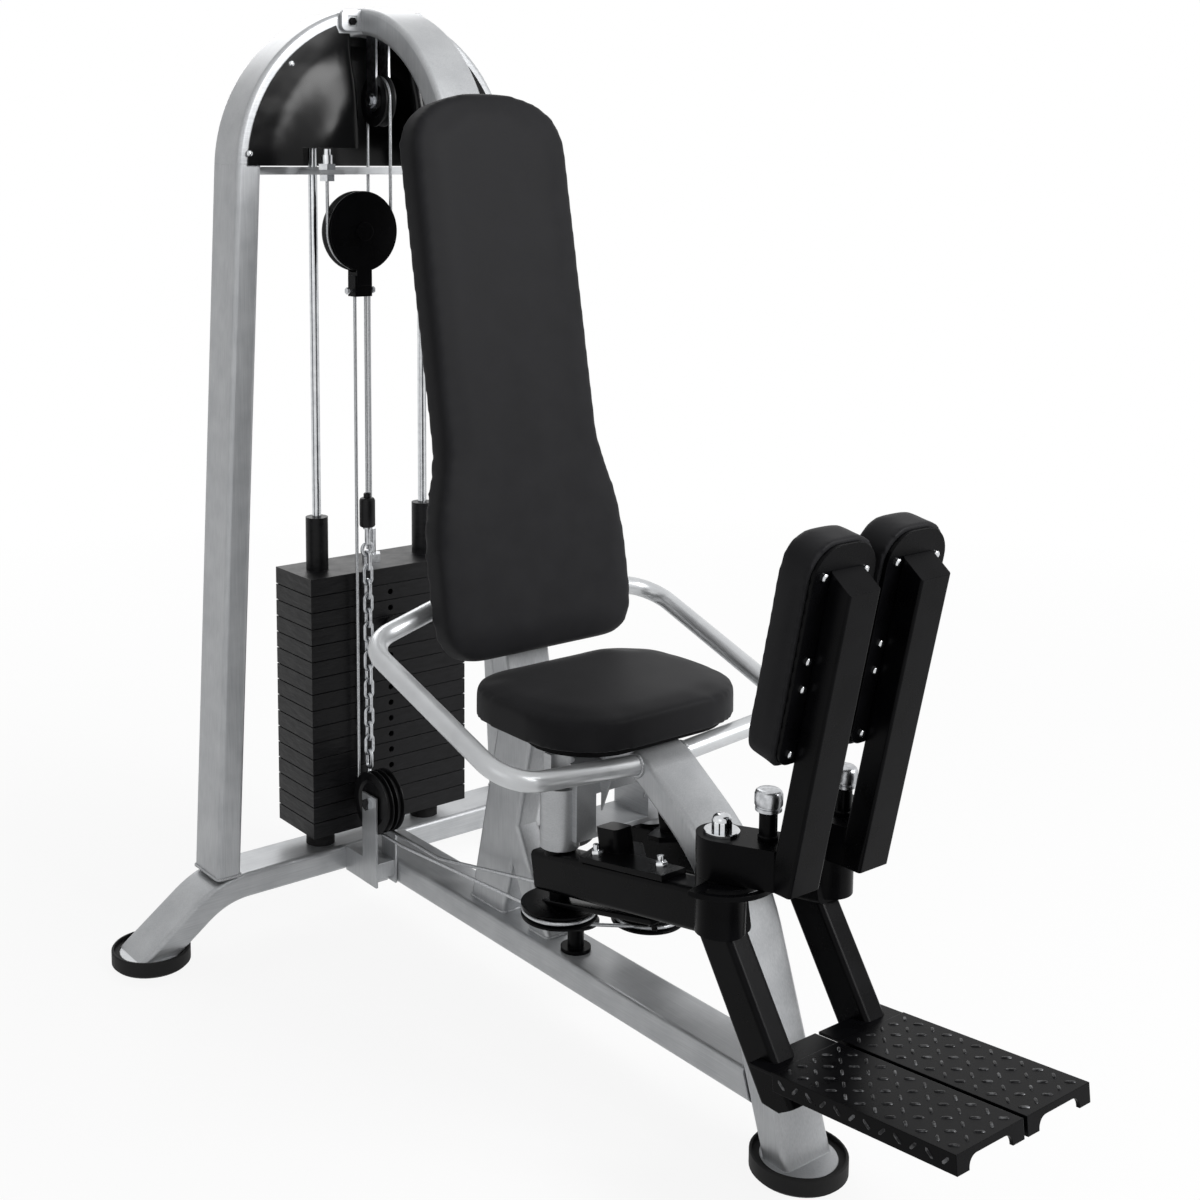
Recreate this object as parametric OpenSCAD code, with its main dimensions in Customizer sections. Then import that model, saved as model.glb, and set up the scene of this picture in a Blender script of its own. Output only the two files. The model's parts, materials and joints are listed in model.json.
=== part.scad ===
// Seated inner and outer thigh machine with a selector weight stack.
// Millimetres, +Z up, the user faces -Y, and -X is the user's right hand.
// Places are measured from the middle of the mast at floor level and then
// moved along Y, so that the origin is under the middle of the whole machine.

/* [Frame tube] */
// Wide side of the main frame tube
tube_w = 90; // [80:1:100]
// Narrow side of the main frame tube
tube_t = 45; // [40:1:50]
// Wall of the main frame tube
tube_wall = 3; // [2:0.5:4]
// Outer corner radius of the main frame tube
tube_corner = 8; // [6:0.5:10]

/* [Mast] */
// Height of the centre of the arch
arch_z = 1345; // [1320:1:1380]
// Outer radius of the arch
arch_r = 284; // [275:1:292]
// Splay of the posts from the vertical, in degrees
splay = 2.9; // [2.4:0.1:3.4]
// Thickness of the bar that holds the guide rods at the top
crossbar_t = 13; // [8:1:16]
// Depth of that bar from front to back
crossbar_d = 50; // [40:1:60]
// Reach of the covers from the centre of the arch
shroud_r = 266; // [255:1:270]
// Wall of the moulded covers
shroud_wall = 3.5; // [2.5:0.5:5]
// How far the front cover bulges forwards
shroud_bulge = 26; // [18:1:32]
// Half width of the opening in the front cover
shroud_gap = 58; // [52:1:70]

/* [Base] */
// Top of the base tubes above the floor
base_top = 131; // [120:1:145]
// Half distance between the rear feet
foot_span = 453; // [440:1:470]
// Distance from the mast to the front foot
foot_reach = 1068; // [1062:1:1074]
// Radius of a rubber foot
foot_r = 67; // [65:1:72]
// Height of a rubber foot
foot_h = 28; // [26:1:30]
// Half length of the level part of the rear bow
bow_flat = 285; // [270:1:300]
// Slope of the ends of the rear bow, in degrees
bow_slope = 36; // [32:1:40]

/* [Seat] */
// Lean of the backrest, in degrees
recline = 10.8; // [9:0.1:12]
// Middle height of the rail under the seat
rail_z = 500; // [490:1:510]
// Half width of the seat cushion
seat_half = 185; // [170:1:195]
// Length of the seat cushion
seat_len = 295; // [280:1:308]
// Thickness of the seat cushion
seat_pad_t = 46; // [36:1:55]
// Thickness of the plywood behind each cushion
board_t = 12; // [9:1:15]
// Thickness of the back cushion
back_pad_t = 46; // [38:1:52]
// Length of the back cushion
back_len = 892; // [850:1:910]
// Half width of the back cushion at the shoulders
back_half = 153; // [140:1:165]
// Half width of the back cushion at the hips
hip_half = 186; // [175:1:195]
// Outer radius of the hand grips
grip_r = 15; // [12.5:0.5:17]

/* [Weight stack] */
// Half width of a weight plate
plate_half = 165; // [155:1:175]
// Front of the weight plates, ahead of the guide rods
plate_front = 64; // [60:1:66]
// Back of the weight plates, behind the guide rods
plate_back = 60; // [54:1:68]
// Height taken by one weight plate
plate_pitch = 29.5; // [28:0.5:31]
// Plates in the stack below the head plate
plate_count = 15; // [12:1:16]
// Plates that the selector pin lifts
lift_count = 3; // [1:1:6]
// Half distance between the guide rods
rod_half = 114; // [105:1:122]
// Radius of a guide rod
rod_r = 8; // [7:0.5:10]
// Height of the rubber bumpers under the stack
bumper_h = 37; // [30:1:45]
// Radius of the selector stem
stem_r = 12; // [10:0.5:14]

/* [Cables] */
// Radius of the steel cable
cable_r = 3; // [2.5:0.25:3.5]
// Distance of the cables ahead of the guide rods
cable_y = 80; // [78:0.5:83]
// Middle height of the pulley in the arch
top_pulley_z = 1470; // [1455:1:1485]
// Groove radius of the floating pulley
float_groove = 64; // [60:0.5:66]
// Middle height of the floating pulley
float_z = 1245; // [1225:1:1265]
// Groove radius of the two pulleys at the base
base_groove = 50; // [46:0.5:52]
// Middle height of the two pulleys at the base
base_pulley_z = 238; // [234:0.5:242]
// Groove radius of the turning pulley on the beam
idler_groove = 32; // [31:0.5:34]
// Groove radius of the sheaves on the arms
sheave_groove = 50; // [46:0.5:52]
// Distance between the two lower cables
cable_gap = 22; // [20:0.5:24]
// Wire radius of the chain
chain_wire = 3.2; // [2.8:0.1:3.4]
// Pitch of the chain
chain_pitch = 26; // [24:0.5:28]

/* [Arms] */
// Half distance between the arm pivots
pivot_half = 90; // [86:0.5:94]
// Distance from the mast to the arm pivots
pivot_reach = 661; // [650:1:672]
// Radius of the arm shafts
shaft_r = 15; // [12:0.5:18]
// Outer radius of the bearing housings
housing_r = 30; // [27:0.5:32]
// Width of the arm tube
arm_w = 50; // [44:1:54]
// Height of the arm tube
arm_h = 60; // [54:1:64]
// Rise of the arm towards the front, in degrees
arm_rise = 10.8; // [9.5:0.1:12]
// Distance from the mast to the hubs of the pad carriers
hub_reach = 1015; // [1005:1:1025]
// Half distance between those hubs
hub_half = 105; // [100:0.5:108]
// Width of the pad uprights
upright_w = 57; // [50:1:60]
// Depth of the pad uprights
upright_d = 36; // [32:1:40]
// Forward lean of the pad uprights, in degrees
upright_lean = 11.7; // [10:0.1:13]
// Width of a thigh cushion
thigh_w = 122; // [110:1:124]
// Height of a thigh cushion
thigh_h = 304; // [285:1:316]
// Thickness of a thigh cushion
thigh_t = 50; // [40:1:56]

/* [Foot plates] */
// Width of a foot plate
plate_w = 124; // [110:1:125]
// Length of a foot plate
plate_l = 284; // [260:1:295]
// Rise of the foot plates towards the toes, in degrees
toe_rise = 6.5; // [4:0.5:9]
// Depth of the flanges on a foot plate
flange_h = 25; // [20:1:30]
// Sheet thickness of a foot plate
sheet_t = 5; // [4:0.5:6]

/* [Fits] */
// Radial clearance of a running shaft
run_fit = 0.05; // [0.02:0.01:0.1]
// Gap between pieces that move past each other
gap = 0.3; // [0.25:0.05:0.4]
// Radial clearance round the guide rods and the stem
slide_fit = 0.5; // [0.4:0.05:0.8]

/* [Hidden] */
$fn = 64;

silver = "silver";
black = [0.08, 0.08, 0.09];
charcoal = [0.18, 0.18, 0.18];
chrome = [0.85, 0.86, 0.88];
rubber = [0.05, 0.05, 0.05];
steel = [0.62, 0.63, 0.65];

cut = 1;
big = 3000;
bend_swell = 0.04;
lap = 0.05;
base_mid = base_top - tube_t / 2;
post_mid_r = arch_r - tube_t / 2;
arch_in_r = arch_r - tube_t;
mast_half = tube_w / 2;
crossbar_top = arch_z + 10;
stack_bottom = base_top + bumper_h;
head_bottom = stack_bottom + plate_count * plate_pitch;
head_top = head_bottom + plate_pitch;
split_z = head_bottom - lift_count * plate_pitch;
sleeve_top = head_top + 96;
stem_top = head_top + 60;
stem_bottom = stack_bottom + plate_pitch;

// Lines of the foot plates and the machine's own middle
plate_rear = hub_reach + 119;
plate_rear_z = 215;
front_reach = plate_rear + plate_l * cos(toe_rise);
mast_y = (front_reach - foot_r) / 2;

// The front leg: rail under the seat, knee, then down to the foot
rail_rear = 425;
rail_bend = 770;
knee_y = 939;
knee_z = rail_z - 115;
foot_seat = 16;
disc_t = 5;
leg_foot_z = foot_seat + disc_t;
leg_foot_y = foot_reach - 4;

// The spine: a bend of its own from the arch, then straight down the backrest
spine_back = 14;
spine_r = arch_r + tube_t / 2 - spine_back - 9;
spine_z = arch_z + arch_r - tube_t / 2 - spine_r;
spine_end = 90 - recline;
rail_top = rail_z + tube_t / 2;
spine_front_y = spine_back + (spine_r + tube_t / 2) * sin(spine_end);
spine_front_z = spine_z + (spine_r + tube_t / 2) * cos(spine_end);

// Cable lines
float_x = -69;
right_run_x = float_x + float_groove;
left_run_x = float_x - float_groove;
cable_a_x = float_x - cable_gap / 2;
cable_b_x = float_x + cable_gap / 2;
base_axle_y = cable_y + base_groove;
run_z = base_pulley_z - base_groove;
idler_x = -6;
idler_y = 600;
level_out = 220;
rise_start = 300;
ease_r = 150;
near_sheave_z = 245;
rim = 8;
wheel_t = 20;
small_wheel_t = 14;
block_z = float_z - (float_groove + rim - cable_r) - 43;
block_h = 50;
socket_h = 18;
anchor_z = crossbar_top - crossbar_t - 5;
anchor_h = 38;
sleeve_z = 724;
sleeve_h = 53;
sleeve_r = 14;
ring_z = 684;
ring_r = 11;
ring_wire = 3.5;
chain_links = 15;
chain_half = 11;

// Arms, in the arm's own frame: along the arm from the pivot
housing_bottom = 345;
housing_top = rail_z - tube_t / 2 - 38;
collar_r = 21;
collar_h = 8;
arm_pivot_z = 306;
arm_len = (hub_reach - pivot_reach) / cos(arm_rise) + 14;
arm_back = 34;
hub_r = 34;
hub_pin_r = 12;
crank_bottom = 432;
crank_top = 487;
hub_base = crank_bottom - gap;
strut_w = 40;
strut_d = 58;
strut_lean = 33.1;
strut_x = 88;
upright_x = 66.5;
upright_front = hub_reach + 111;
upright_top = 844;
bevel = 27;
thigh_plate_t = 6;
thigh_x = 67;
thigh_low = 600;
pin_reach = hub_reach + 51;
pin_x = 72;
plunger_r = 6;
index_t = 7;
index_step = 0.5;
hub_low = 352;
pin_arm = norm([hub_half - pin_x, pin_reach - hub_reach]);
pin_angle = -atan2(pin_reach - hub_reach, hub_half - pin_x);
plate_x = 65.5;

// Helpers

function unit(v) = v / norm(v);

function turn_angle(a, b) = acos(max(-1, min(1, a * b)));

function tangent_len(points, radii, i) =
    (i == 0 || i == len(points) - 1) ? 0 :
    radii[i] * tan(turn_angle(unit(points[i] - points[i - 1]), unit(points[i + 1] - points[i])) / 2);

function across(d) = unit(cross(abs(d[2]) < 0.9 ? [0, 0, 1] : [1, 0, 0], d));

function frame_matrix(x, y, z, o) = [
    [x[0], y[0], z[0], o[0]],
    [x[1], y[1], z[1], o[1]],
    [x[2], y[2], z[2], o[2]],
    [0, 0, 0, 1]
];

function arc_points(c, r, from, to, n = 10) =
    [for (i = [0:n]) c + r * [cos(from + (to - from) * i / n), sin(from + (to - from) * i / n)]];

module mast() {
    translate([0, mast_y, 0]) children();
}

module mirrored() {
    mirror([1, 0, 0]) children();
}

module both_sides() {
    children();
    mirrored() children();
}

// Rectangle with round corners, centred
module round_rect(w, h, r) {
    square([w - 2 * r, h], center = true);
    square([w, h - 2 * r], center = true);
    for (x = [-1, 1], y = [-1, 1])
        translate([x * (w / 2 - r), y * (h / 2 - r)]) circle(r, $fn = 48);
}

// Sweeps a profile along straight runs joined by round bends.
// The profile's x is in the plane of the bend and its y is along the normal.
// A second profile, when given, is for the bends.
module sweep(points, radii, normal = [0, 0, 0], over = 0) {
    last = len(points) - 1;
    for (i = [0:last - 1]) {
        d = unit(points[i + 1] - points[i]);
        n = norm(normal) > 0 ? normal : across(d);
        from = points[i] + d * (tangent_len(points, radii, i) - (i == 0 ? over : lap));
        to = points[i + 1] - d * (tangent_len(points, radii, i + 1) - (i == last - 1 ? over : lap));
        if (norm(to - from) > 3 * lap)
            multmatrix(frame_matrix(cross(n, d), n, d, from)) linear_extrude(norm(to - from)) children(0);
    }
    if (last > 1)
        for (i = [1:last - 1]) {
            d_in = unit(points[i] - points[i - 1]);
            d_out = unit(points[i + 1] - points[i]);
            turn = turn_angle(d_in, d_out);
            n = unit(cross(d_in, d_out));
            inward = cross(n, d_in);
            start = points[i] - d_in * tangent_len(points, radii, i);
            multmatrix(frame_matrix(-inward, d_in, n, start + inward * radii[i]))
                rotate_extrude(angle = turn) translate([radii[i], 0]) children($children - 1);
        }
}

// Round bar along a bent line, its bends a hair fuller than its straight runs
module round_bar(points, radii, r, swell = bend_swell) {
    sweep(points, radii) {
        circle(r, $fn = 48);
        circle(r + swell, $fn = 48);
    }
}

// Hollow frame tube along a bent line, wide side along the normal
module frame_tube(points, radii, normal, w = tube_w, t = tube_t) {
    in_w = w - 2 * tube_wall;
    in_t = t - 2 * tube_wall;
    difference() {
        frame_bar(points, radii, normal, w, t);
        sweep(points, radii, normal, cut) {
            round_rect(in_t, in_w, tube_corner - tube_wall);
            round_rect(in_t + 2 * bend_swell, in_w + 2 * bend_swell, tube_corner - tube_wall);
        }
    }
}

module frame_bar(points, radii, normal, w = tube_w, t = tube_t) {
    sweep(points, radii, normal) {
        round_rect(t, w, tube_corner);
        round_rect(t + 2 * bend_swell, w + 2 * bend_swell, tube_corner);
    }
}

module half_space_above(z) {
    translate([-big / 2, -big / 2, z]) cube(big);
}

// Grooved wheel on the Z axis, centred, with a bore
module grooved_wheel(groove, t, bore) {
    outer = groove + rim - cable_r;
    lip = t * 0.14;
    hub_t = t * 0.5;
    rotate_extrude()
        polygon(concat(
            [[bore, -t / 2], [bore * 1.9, -t / 2], [bore * 1.9 + 2, -hub_t / 2],
             [groove - 14, -hub_t / 2], [groove - 9, -t / 2], [outer, -t / 2], [outer, -t / 2 + lip]],
            arc_points([groove, 0], cable_r + gap, -90, -270, 8),
            [[outer, t / 2 - lip], [outer, t / 2], [groove - 9, t / 2], [groove - 14, hub_t / 2],
             [bore * 1.9 + 2, hub_t / 2], [bore * 1.9, t / 2], [bore, t / 2]]
        ));
}

module hex_head(r, h) {
    cylinder(r = r, h = h, $fn = 6);
}

module cable(points, radii) {
    round_bar(points, radii, cable_r);
}

// Mast

post_top = [-post_mid_r * cos(splay), 0, arch_z + post_mid_r * sin(splay)];
post_len = (post_top[2] - base_top) / cos(splay) + tube_t;
post_foot = post_top + post_len * [-sin(splay), 0, -cos(splay)];

module right_post_shape() {
    intersection() {
        frame_tube([post_top, post_foot], [0, 0], [0, 1, 0]);
        half_space_above(base_top);
    }
}

module right_post() {
    color(silver) mast() right_post_shape();
}

module left_post() {
    color(silver) mast() mirrored() right_post_shape();
}

module arch_ring(r, w, over = 0) {
    translate([0, 0, arch_z]) rotate([90, 0, 0]) rotate([0, 0, splay - over])
        rotate_extrude(angle = 180 - 2 * splay + 2 * over)
            translate([post_mid_r, 0]) round_rect(r, w, min(tube_corner, r / 2 - 1));
}

module arch_top() {
    color(silver) mast() difference() {
        arch_ring(tube_t, tube_w);
        arch_ring(tube_t - 2 * tube_wall, tube_w - 2 * tube_wall, 0.5);
    }
}

bow_end = foot_span + 34;
bow_r = 150;
bow_points = [
    [0, 0, base_mid],
    [-bow_flat - bow_r * tan(bow_slope / 2), 0, base_mid],
    [-bow_end, 0, base_mid - (bow_end - bow_flat - bow_r * tan(bow_slope / 2)) * tan(bow_slope)]
];

module foot_disc() {
    translate([0, 0, foot_seat]) cylinder(r = foot_r - 14, h = disc_t);
}

module rear_bow() {
    color(silver) mast() both_sides() {
        intersection() {
            frame_tube(bow_points, [0, bow_r, 0], [0, 1, 0]);
            half_space_above(foot_seat + disc_t);
        }
        translate([-foot_span, 0, 0]) foot_disc();
    }
}

leg_points = [
    [0, -rail_rear, rail_z],
    [0, -rail_bend, rail_z],
    [0, -knee_y, knee_z],
    [0, -leg_foot_y - 18, leg_foot_z - 52]
];
leg_radii = [0, 120, 290, 0];
leg_lean = atan2(leg_foot_y + 18 - knee_y, knee_z - leg_foot_z + 52);

module front_leg() {
    color(silver) mast() {
        intersection() {
            frame_tube(leg_points, leg_radii, [1, 0, 0]);
            half_space_above(leg_foot_z);
        }
        translate([0, -foot_reach, 0]) foot_disc();
    }
}

beam_end = knee_y + (leg_foot_y + 18 - knee_y) * (knee_z - base_mid) / (knee_z - leg_foot_z + 52);

module main_beam() {
    color(silver) mast() difference() {
        frame_tube([[0, -mast_half, base_mid], [0, -beam_end, base_mid]], [0, 0], [1, 0, 0]);
        translate([-tube_w, -knee_y, knee_z]) rotate([-leg_lean, 0, 0])
            translate([0, -big + tube_t / 2, -big / 2]) cube([2 * tube_w, big, big]);
    }
}

// Spine and backrest

function spine_arc(a, r) = [0, -spine_back - r * sin(a), spine_z + r * cos(a)];

spine_corner_len = spine_r * tan(spine_end / 2);
spine_points = [
    [0, -spine_back, spine_z + spine_r],
    [0, -spine_back - spine_corner_len, spine_z + spine_r],
    spine_arc(spine_end, spine_r) + 1000 * [0, -cos(spine_end), -sin(spine_end)]
];

module spine_tube() {
    color(silver) mast() intersection() {
        frame_tube(spine_points, [0, spine_r, 0], [1, 0, 0]);
        half_space_above(rail_top);
        translate([-big / 2, -big - mast_half - flange_t, 0]) cube(big);
    }
}

flange_t = 8;
flange_half = 84;
flange_bolt_x = 62;

module spine_flange() {
    color(silver) mast() difference() {
        translate([0, -mast_half, arch_z + arch_r - tube_t / 2 - 2]) rotate([90, 0, 0])
            linear_extrude(flange_t) round_rect(2 * flange_half, tube_t - 8, 10);
        both_sides() translate([flange_bolt_x, -mast_half - flange_t / 2, flange_bolt_z])
            rotate([90, 0, 0]) cylinder(r = 6, h = 2 * flange_t, center = true);
        both_sides() translate([flange_bolt_x, -mast_half - flange_t, flange_bolt_z])
            cube([18, 5, 18], center = true);
    }
}

flange_bolt_z = arch_z + arch_r - tube_t / 2 - 4;

// Frame along the straight part of the spine: x across, y up the back, z towards the user
module on_spine(up) {
    translate([0, -spine_front_y, spine_front_z]) rotate([90 - recline, 0, 0])
        translate([0, up, 2 * bend_swell]) children();
}

back_low_z = 588;
back_low = -(spine_front_z - back_low_z) / cos(recline);

back_corner = 60;
flare_low = 175;
flare_high = 350;
crown_r = 300;
shoulder_r = 85;

// Straight sides that flare to the hips, and a top that is one flat arc between round shoulders
module back_outline(inset = 0) {
    top = back_len - inset;
    shoulder = back_half - inset;
    hip = hip_half - inset;
    r = back_corner - inset / 2;
    s = shoulder_r - inset / 2;
    crown = crown_r - inset;
    shoulder_x = shoulder - s;
    rise = sqrt(pow(crown - s, 2) - pow(shoulder_x, 2));
    turn = atan2(rise, shoulder_x);
    right_side = concat(
        arc_points([hip - r, inset + r], r, -90, 0),
        [for (i = [0:8]) [hip + (shoulder - hip) * (1 - cos(180 * i / 8)) / 2,
                          flare_low + (flare_high - flare_low) * i / 8]],
        arc_points([shoulder_x, top - crown + rise], s, 0, turn),
        arc_points([0, top - crown], crown, turn + 6, 86, 4)
    );
    polygon(concat(right_side, [for (i = [len(right_side) - 1:-1:0]) [-right_side[i][0], right_side[i][1]]]));
}

module back_board() {
    color(black) mast() on_spine(back_low) linear_extrude(board_t) back_outline(16);
}

module back_pad() {
    color(charcoal) mast() on_spine(back_low) translate([0, 0, board_t]) linear_extrude(back_pad_t) back_outline();
}

// Seat

seat_rear = 515;
seat_corner = 110;
seat_nose = 95;

module seat_outline(inset = 0) {
    w = seat_half - inset;
    r = seat_corner - inset;
    rear = -seat_rear - inset;
    front = -seat_rear - seat_len + inset;
    right_side = concat(
        arc_points([w - seat_nose, rear - seat_nose + inset], seat_nose - inset, 90, 0),
        arc_points([w - r, front + r], r, 0, -90)
    );
    polygon(concat(right_side, [for (i = [len(right_side) - 1:-1:0]) [-right_side[i][0], right_side[i][1]]]));
}

module seat_board() {
    color(black) mast() translate([0, 0, rail_top]) linear_extrude(board_t) seat_outline(18);
}

module seat_pad() {
    color(charcoal) mast() translate([0, 0, rail_top + board_t]) linear_extrude(seat_pad_t) seat_outline();
}

// Seat post: a leaning tube and a strut that props it on the beam
post_lean_top = 466;
post_lean_foot = 387;
strut_top_y = 430;
strut_foot_y = 545;
prop_top = [0, -strut_top_y, base_top + 190];
prop_foot = [0, -strut_foot_y, base_top - 40];
seat_post_points = [[0, -post_lean_top - 12, rail_z + 30], [0, -post_lean_foot + 12, base_top - 50]];

module seat_post() {
    color(silver) mast() {
        intersection() {
            frame_tube(seat_post_points, [0, 0], [1, 0, 0], tube_t, tube_w);
            half_space_above(base_top);
            translate([0, 0, rail_z - tube_t / 2 - big]) half_space_above(0);
        }
        difference() {
            intersection() {
                frame_tube([prop_top, prop_foot], [0, 0], [1, 0, 0], tube_t, tube_t);
                half_space_above(base_top);
            }
            frame_bar(seat_post_points, [0, 0], [1, 0, 0], tube_t, tube_w);
        }
    }
}

// Box under the rail that holds the two bearing housings
hip_rear = 622;
hip_front = 700;

module hip_housings() {
    color(silver) mast() difference() {
        union() {
            translate([-pivot_half, -hip_front, housing_bottom + 15])
                cube([2 * pivot_half, hip_front - hip_rear, rail_z - tube_t / 2 - housing_bottom - 15]);
            for (x = [-1, 1])
                translate([x * pivot_half, -pivot_reach, housing_bottom])
                    cylinder(r = housing_r, h = housing_top - housing_bottom);
            for (x = [-1, 1])
                translate([x * (tube_w / 2 - tube_wall) - tube_wall / 2, -hip_front, rail_z - tube_t / 2])
                    rotate([90, 0, 90]) linear_extrude(tube_wall) rail_gusset();
        }
        for (x = [-1, 1]) translate([x * pivot_half, -pivot_reach, 0]) {
            translate([0, 0, housing_bottom - cut]) cylinder(r = shaft_r + run_fit, h = big);
            translate([0, 0, housing_top]) cylinder(r = collar_r + 2 * gap, h = big);
            translate([x > 0 ? 0 : -big, -big / 2, housing_top]) cube(big);
        }
        hip_cutaway();
    }
}

// Web that ties the box to the underside of the rail, ahead of the box
gusset_h = 80;
gusset_len = rail_bend - tangent_len(leg_points, leg_radii, 1) - hip_front - gap;

module rail_gusset() {
    polygon([[0, 0], [0, -gusset_h], [-gusset_len, 0]]);
}

// Opens the box between its end walls
module hip_cutaway() {
    translate([-pivot_half + housing_r + 8, -hip_front - cut, housing_bottom + 23])
        cube([2 * (pivot_half - housing_r - 8), hip_front - hip_rear + 2 * cut, 60]);
}

// Guide rods and stack

module rod_crossbar() {
    color(silver) mast() difference() {
        union() {
            translate([-arch_in_r + gap, -crossbar_d / 2, crossbar_top - crossbar_t])
                cube([2 * (arch_in_r - gap), crossbar_d, crossbar_t]);
            translate([left_run_x - 24, -cable_y - 18, crossbar_top - crossbar_t])
                cube([48, cable_y + 18 - crossbar_d / 2 + cut, 8]);
        }
        both_sides() translate([rod_half, 0, crossbar_top - 2 * crossbar_t])
            cylinder(r = rod_r + run_fit, h = 4 * crossbar_t);
        translate([0, 0, crossbar_top - 2 * crossbar_t]) cylinder(r = 12, h = 4 * crossbar_t);
        translate([left_run_x, -cable_y, crossbar_top - 2 * crossbar_t])
            cylinder(r = 10 + run_fit, h = 4 * crossbar_t);
        posts_bar();
    }
}

module posts_bar() {
    both_sides() frame_bar([post_top, post_foot], [0, 0], [0, 1, 0]);
    arch_ring(tube_t, tube_w);
}

module guide_rods() {
    color(chrome) mast() both_sides()
        translate([rod_half, 0, base_top]) cylinder(r = rod_r, h = crossbar_top + 32 - base_top);
}

module stack_bumpers() {
    color(rubber) mast() both_sides() translate([rod_half, 0, base_top]) rotate_extrude()
        polygon([[rod_r + gap, 0], [26, 0], [26, bumper_h * 0.3], [22, bumper_h * 0.5],
                 [26, bumper_h * 0.7], [26, bumper_h], [rod_r + gap, bumper_h]]);
}

groove_h = 2;
plate_gap = 0.4;
groove_in = 3;

module plate_body(z) {
    slab = plate_pitch - groove_h;
    translate([-plate_half, -plate_front, z]) cube([2 * plate_half, plate_front + plate_back, slab]);
    translate([-plate_half + groove_in, -plate_front + groove_in, z + slab])
        cube([2 * (plate_half - groove_in), plate_front + plate_back - 2 * groove_in, groove_h - plate_gap]);
}

module plate_holes(from, to) {
    both_sides() translate([rod_half, 0, from - cut]) cylinder(r = rod_r + slide_fit, h = to - from + 2 * cut);
    translate([0, 0, from - cut]) cylinder(r = stem_r + slide_fit, h = to - from + 2 * cut);
}

pin_r = 5;

module pin_hole(z) {
    translate([0, 0, z + plate_pitch / 2 - groove_h / 2]) rotate([90, 0, 0])
        cylinder(r = pin_r + gap, h = plate_front + cut);
}

module resting_plates() {
    color(black) mast() for (i = [0:plate_count - lift_count - 1]) difference() {
        plate_body(stack_bottom + i * plate_pitch);
        plate_holes(stack_bottom, head_bottom);
        pin_hole(stack_bottom + i * plate_pitch);
    }
}

module lifted_plates() {
    color(black) mast() for (i = [0:lift_count - 1]) difference() {
        plate_body(split_z + i * plate_pitch);
        plate_holes(split_z, head_bottom);
        pin_hole(split_z + i * plate_pitch);
    }
}

module head_plate() {
    color(black) mast() difference() {
        union() {
            translate([-plate_half, -plate_front, head_bottom])
                cube([2 * plate_half, plate_front + plate_back, plate_pitch]);
            both_sides() translate([rod_half, 0, head_bottom]) cylinder(r = 20, h = sleeve_top - head_bottom);
        }
        both_sides() translate([rod_half, 0, head_bottom - cut])
            cylinder(r = rod_r + gap, h = sleeve_top - head_bottom + 2 * cut);
        translate([0, 0, head_bottom - cut]) cylinder(r = stem_r + run_fit, h = plate_pitch + 2 * cut);
    }
}

module selector_stem() {
    color(steel) mast() difference() {
        union() {
            translate([0, 0, stem_bottom]) cylinder(r = stem_r, h = head_top - stem_bottom);
            translate([0, 0, head_top]) hex_head(19, 14);
            translate([0, 0, head_top + 14]) cylinder(r = 9, h = stem_top - head_top - 14);
        }
        for (i = [1:plate_count - 1])
            translate([0, 0, stack_bottom + (i + 0.5) * plate_pitch - groove_h / 2]) rotate([90, 0, 0])
                cylinder(r = pin_r + gap, h = 4 * stem_r, center = true);
    }
}

pin_tip = stem_r - 2;

module selector_pin() {
    color(black) mast() translate([0, 0, split_z + plate_pitch / 2 - groove_h / 2]) rotate([90, 0, 0]) {
        translate([0, 0, -pin_tip]) cylinder(r = pin_r, h = plate_front + pin_tip + 4);
        translate([0, 0, plate_front + gap]) rotate_extrude()
            polygon([[0, 0], [13, 0], [13, 5], [8, 8], [8, 20], [13, 24], [13, 29], [0, 31]]);
    }
}

// Covers of the arch

rim_in = shroud_r - 38;
face_r = rim_in - 28;
shroud_hole = 20;

module shroud_shell() {
    low = mast_half;
    skin = low + shroud_wall;
    high = low + shroud_bulge;
    rotate([90, 0, 0]) rotate_extrude(angle = 180) polygon([
        [shroud_r, low], [shroud_r, skin], [rim_in, skin], [face_r, high], [shroud_hole, high],
        [shroud_hole, high - shroud_wall], [face_r - 2, high - shroud_wall], [rim_in - 3, low]
    ]);
}

module front_shroud() {
    color(black) mast() difference() {
        translate([0, 0, arch_z]) shroud_shell();
        translate([-big / 2, -big / 2, crossbar_top + 2 - big]) cube(big);
        translate([-shroud_gap, -200, 0]) cube([2 * shroud_gap, 200, big]);
        translate([-flange_half - 3, -200, arch_z + arch_r - tube_t - 2]) cube([2 * flange_half + 6, 200, big]);
        translate([-168, -200, 0]) cube([2 * 168, 200, crossbar_top + 32]);
        shroud_screw_places() cylinder(r = 2.5, h = 40, center = true);
    }
}

module shroud_screw_places() {
    for (x = [-1, 1]) {
        translate([x * 263, -mast_half - shroud_wall, crossbar_top + 22]) rotate([90, 0, 0]) children();
        translate([x * 181, -mast_half - shroud_wall, arch_z + 182]) rotate([90, 0, 0]) children();
    }
}

rear_face = mast_half + 12;

module rear_shroud() {
    color(black) mast() difference() {
        translate([0, 0, arch_z]) rotate([90, 0, 0]) rotate_extrude(angle = 180)
            polygon([[0, -rear_face], [face_r, -rear_face], [rim_in - 4, -mast_half], [shroud_r, -mast_half],
                     [shroud_r, -mast_half - shroud_wall], [rim_in - 2, -mast_half - shroud_wall],
                     [face_r + 2, -rear_face - shroud_wall], [0, -rear_face - shroud_wall]]);
        translate([-big / 2, -big / 2, crossbar_top + 2 - big]) cube(big);
    }
}

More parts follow.
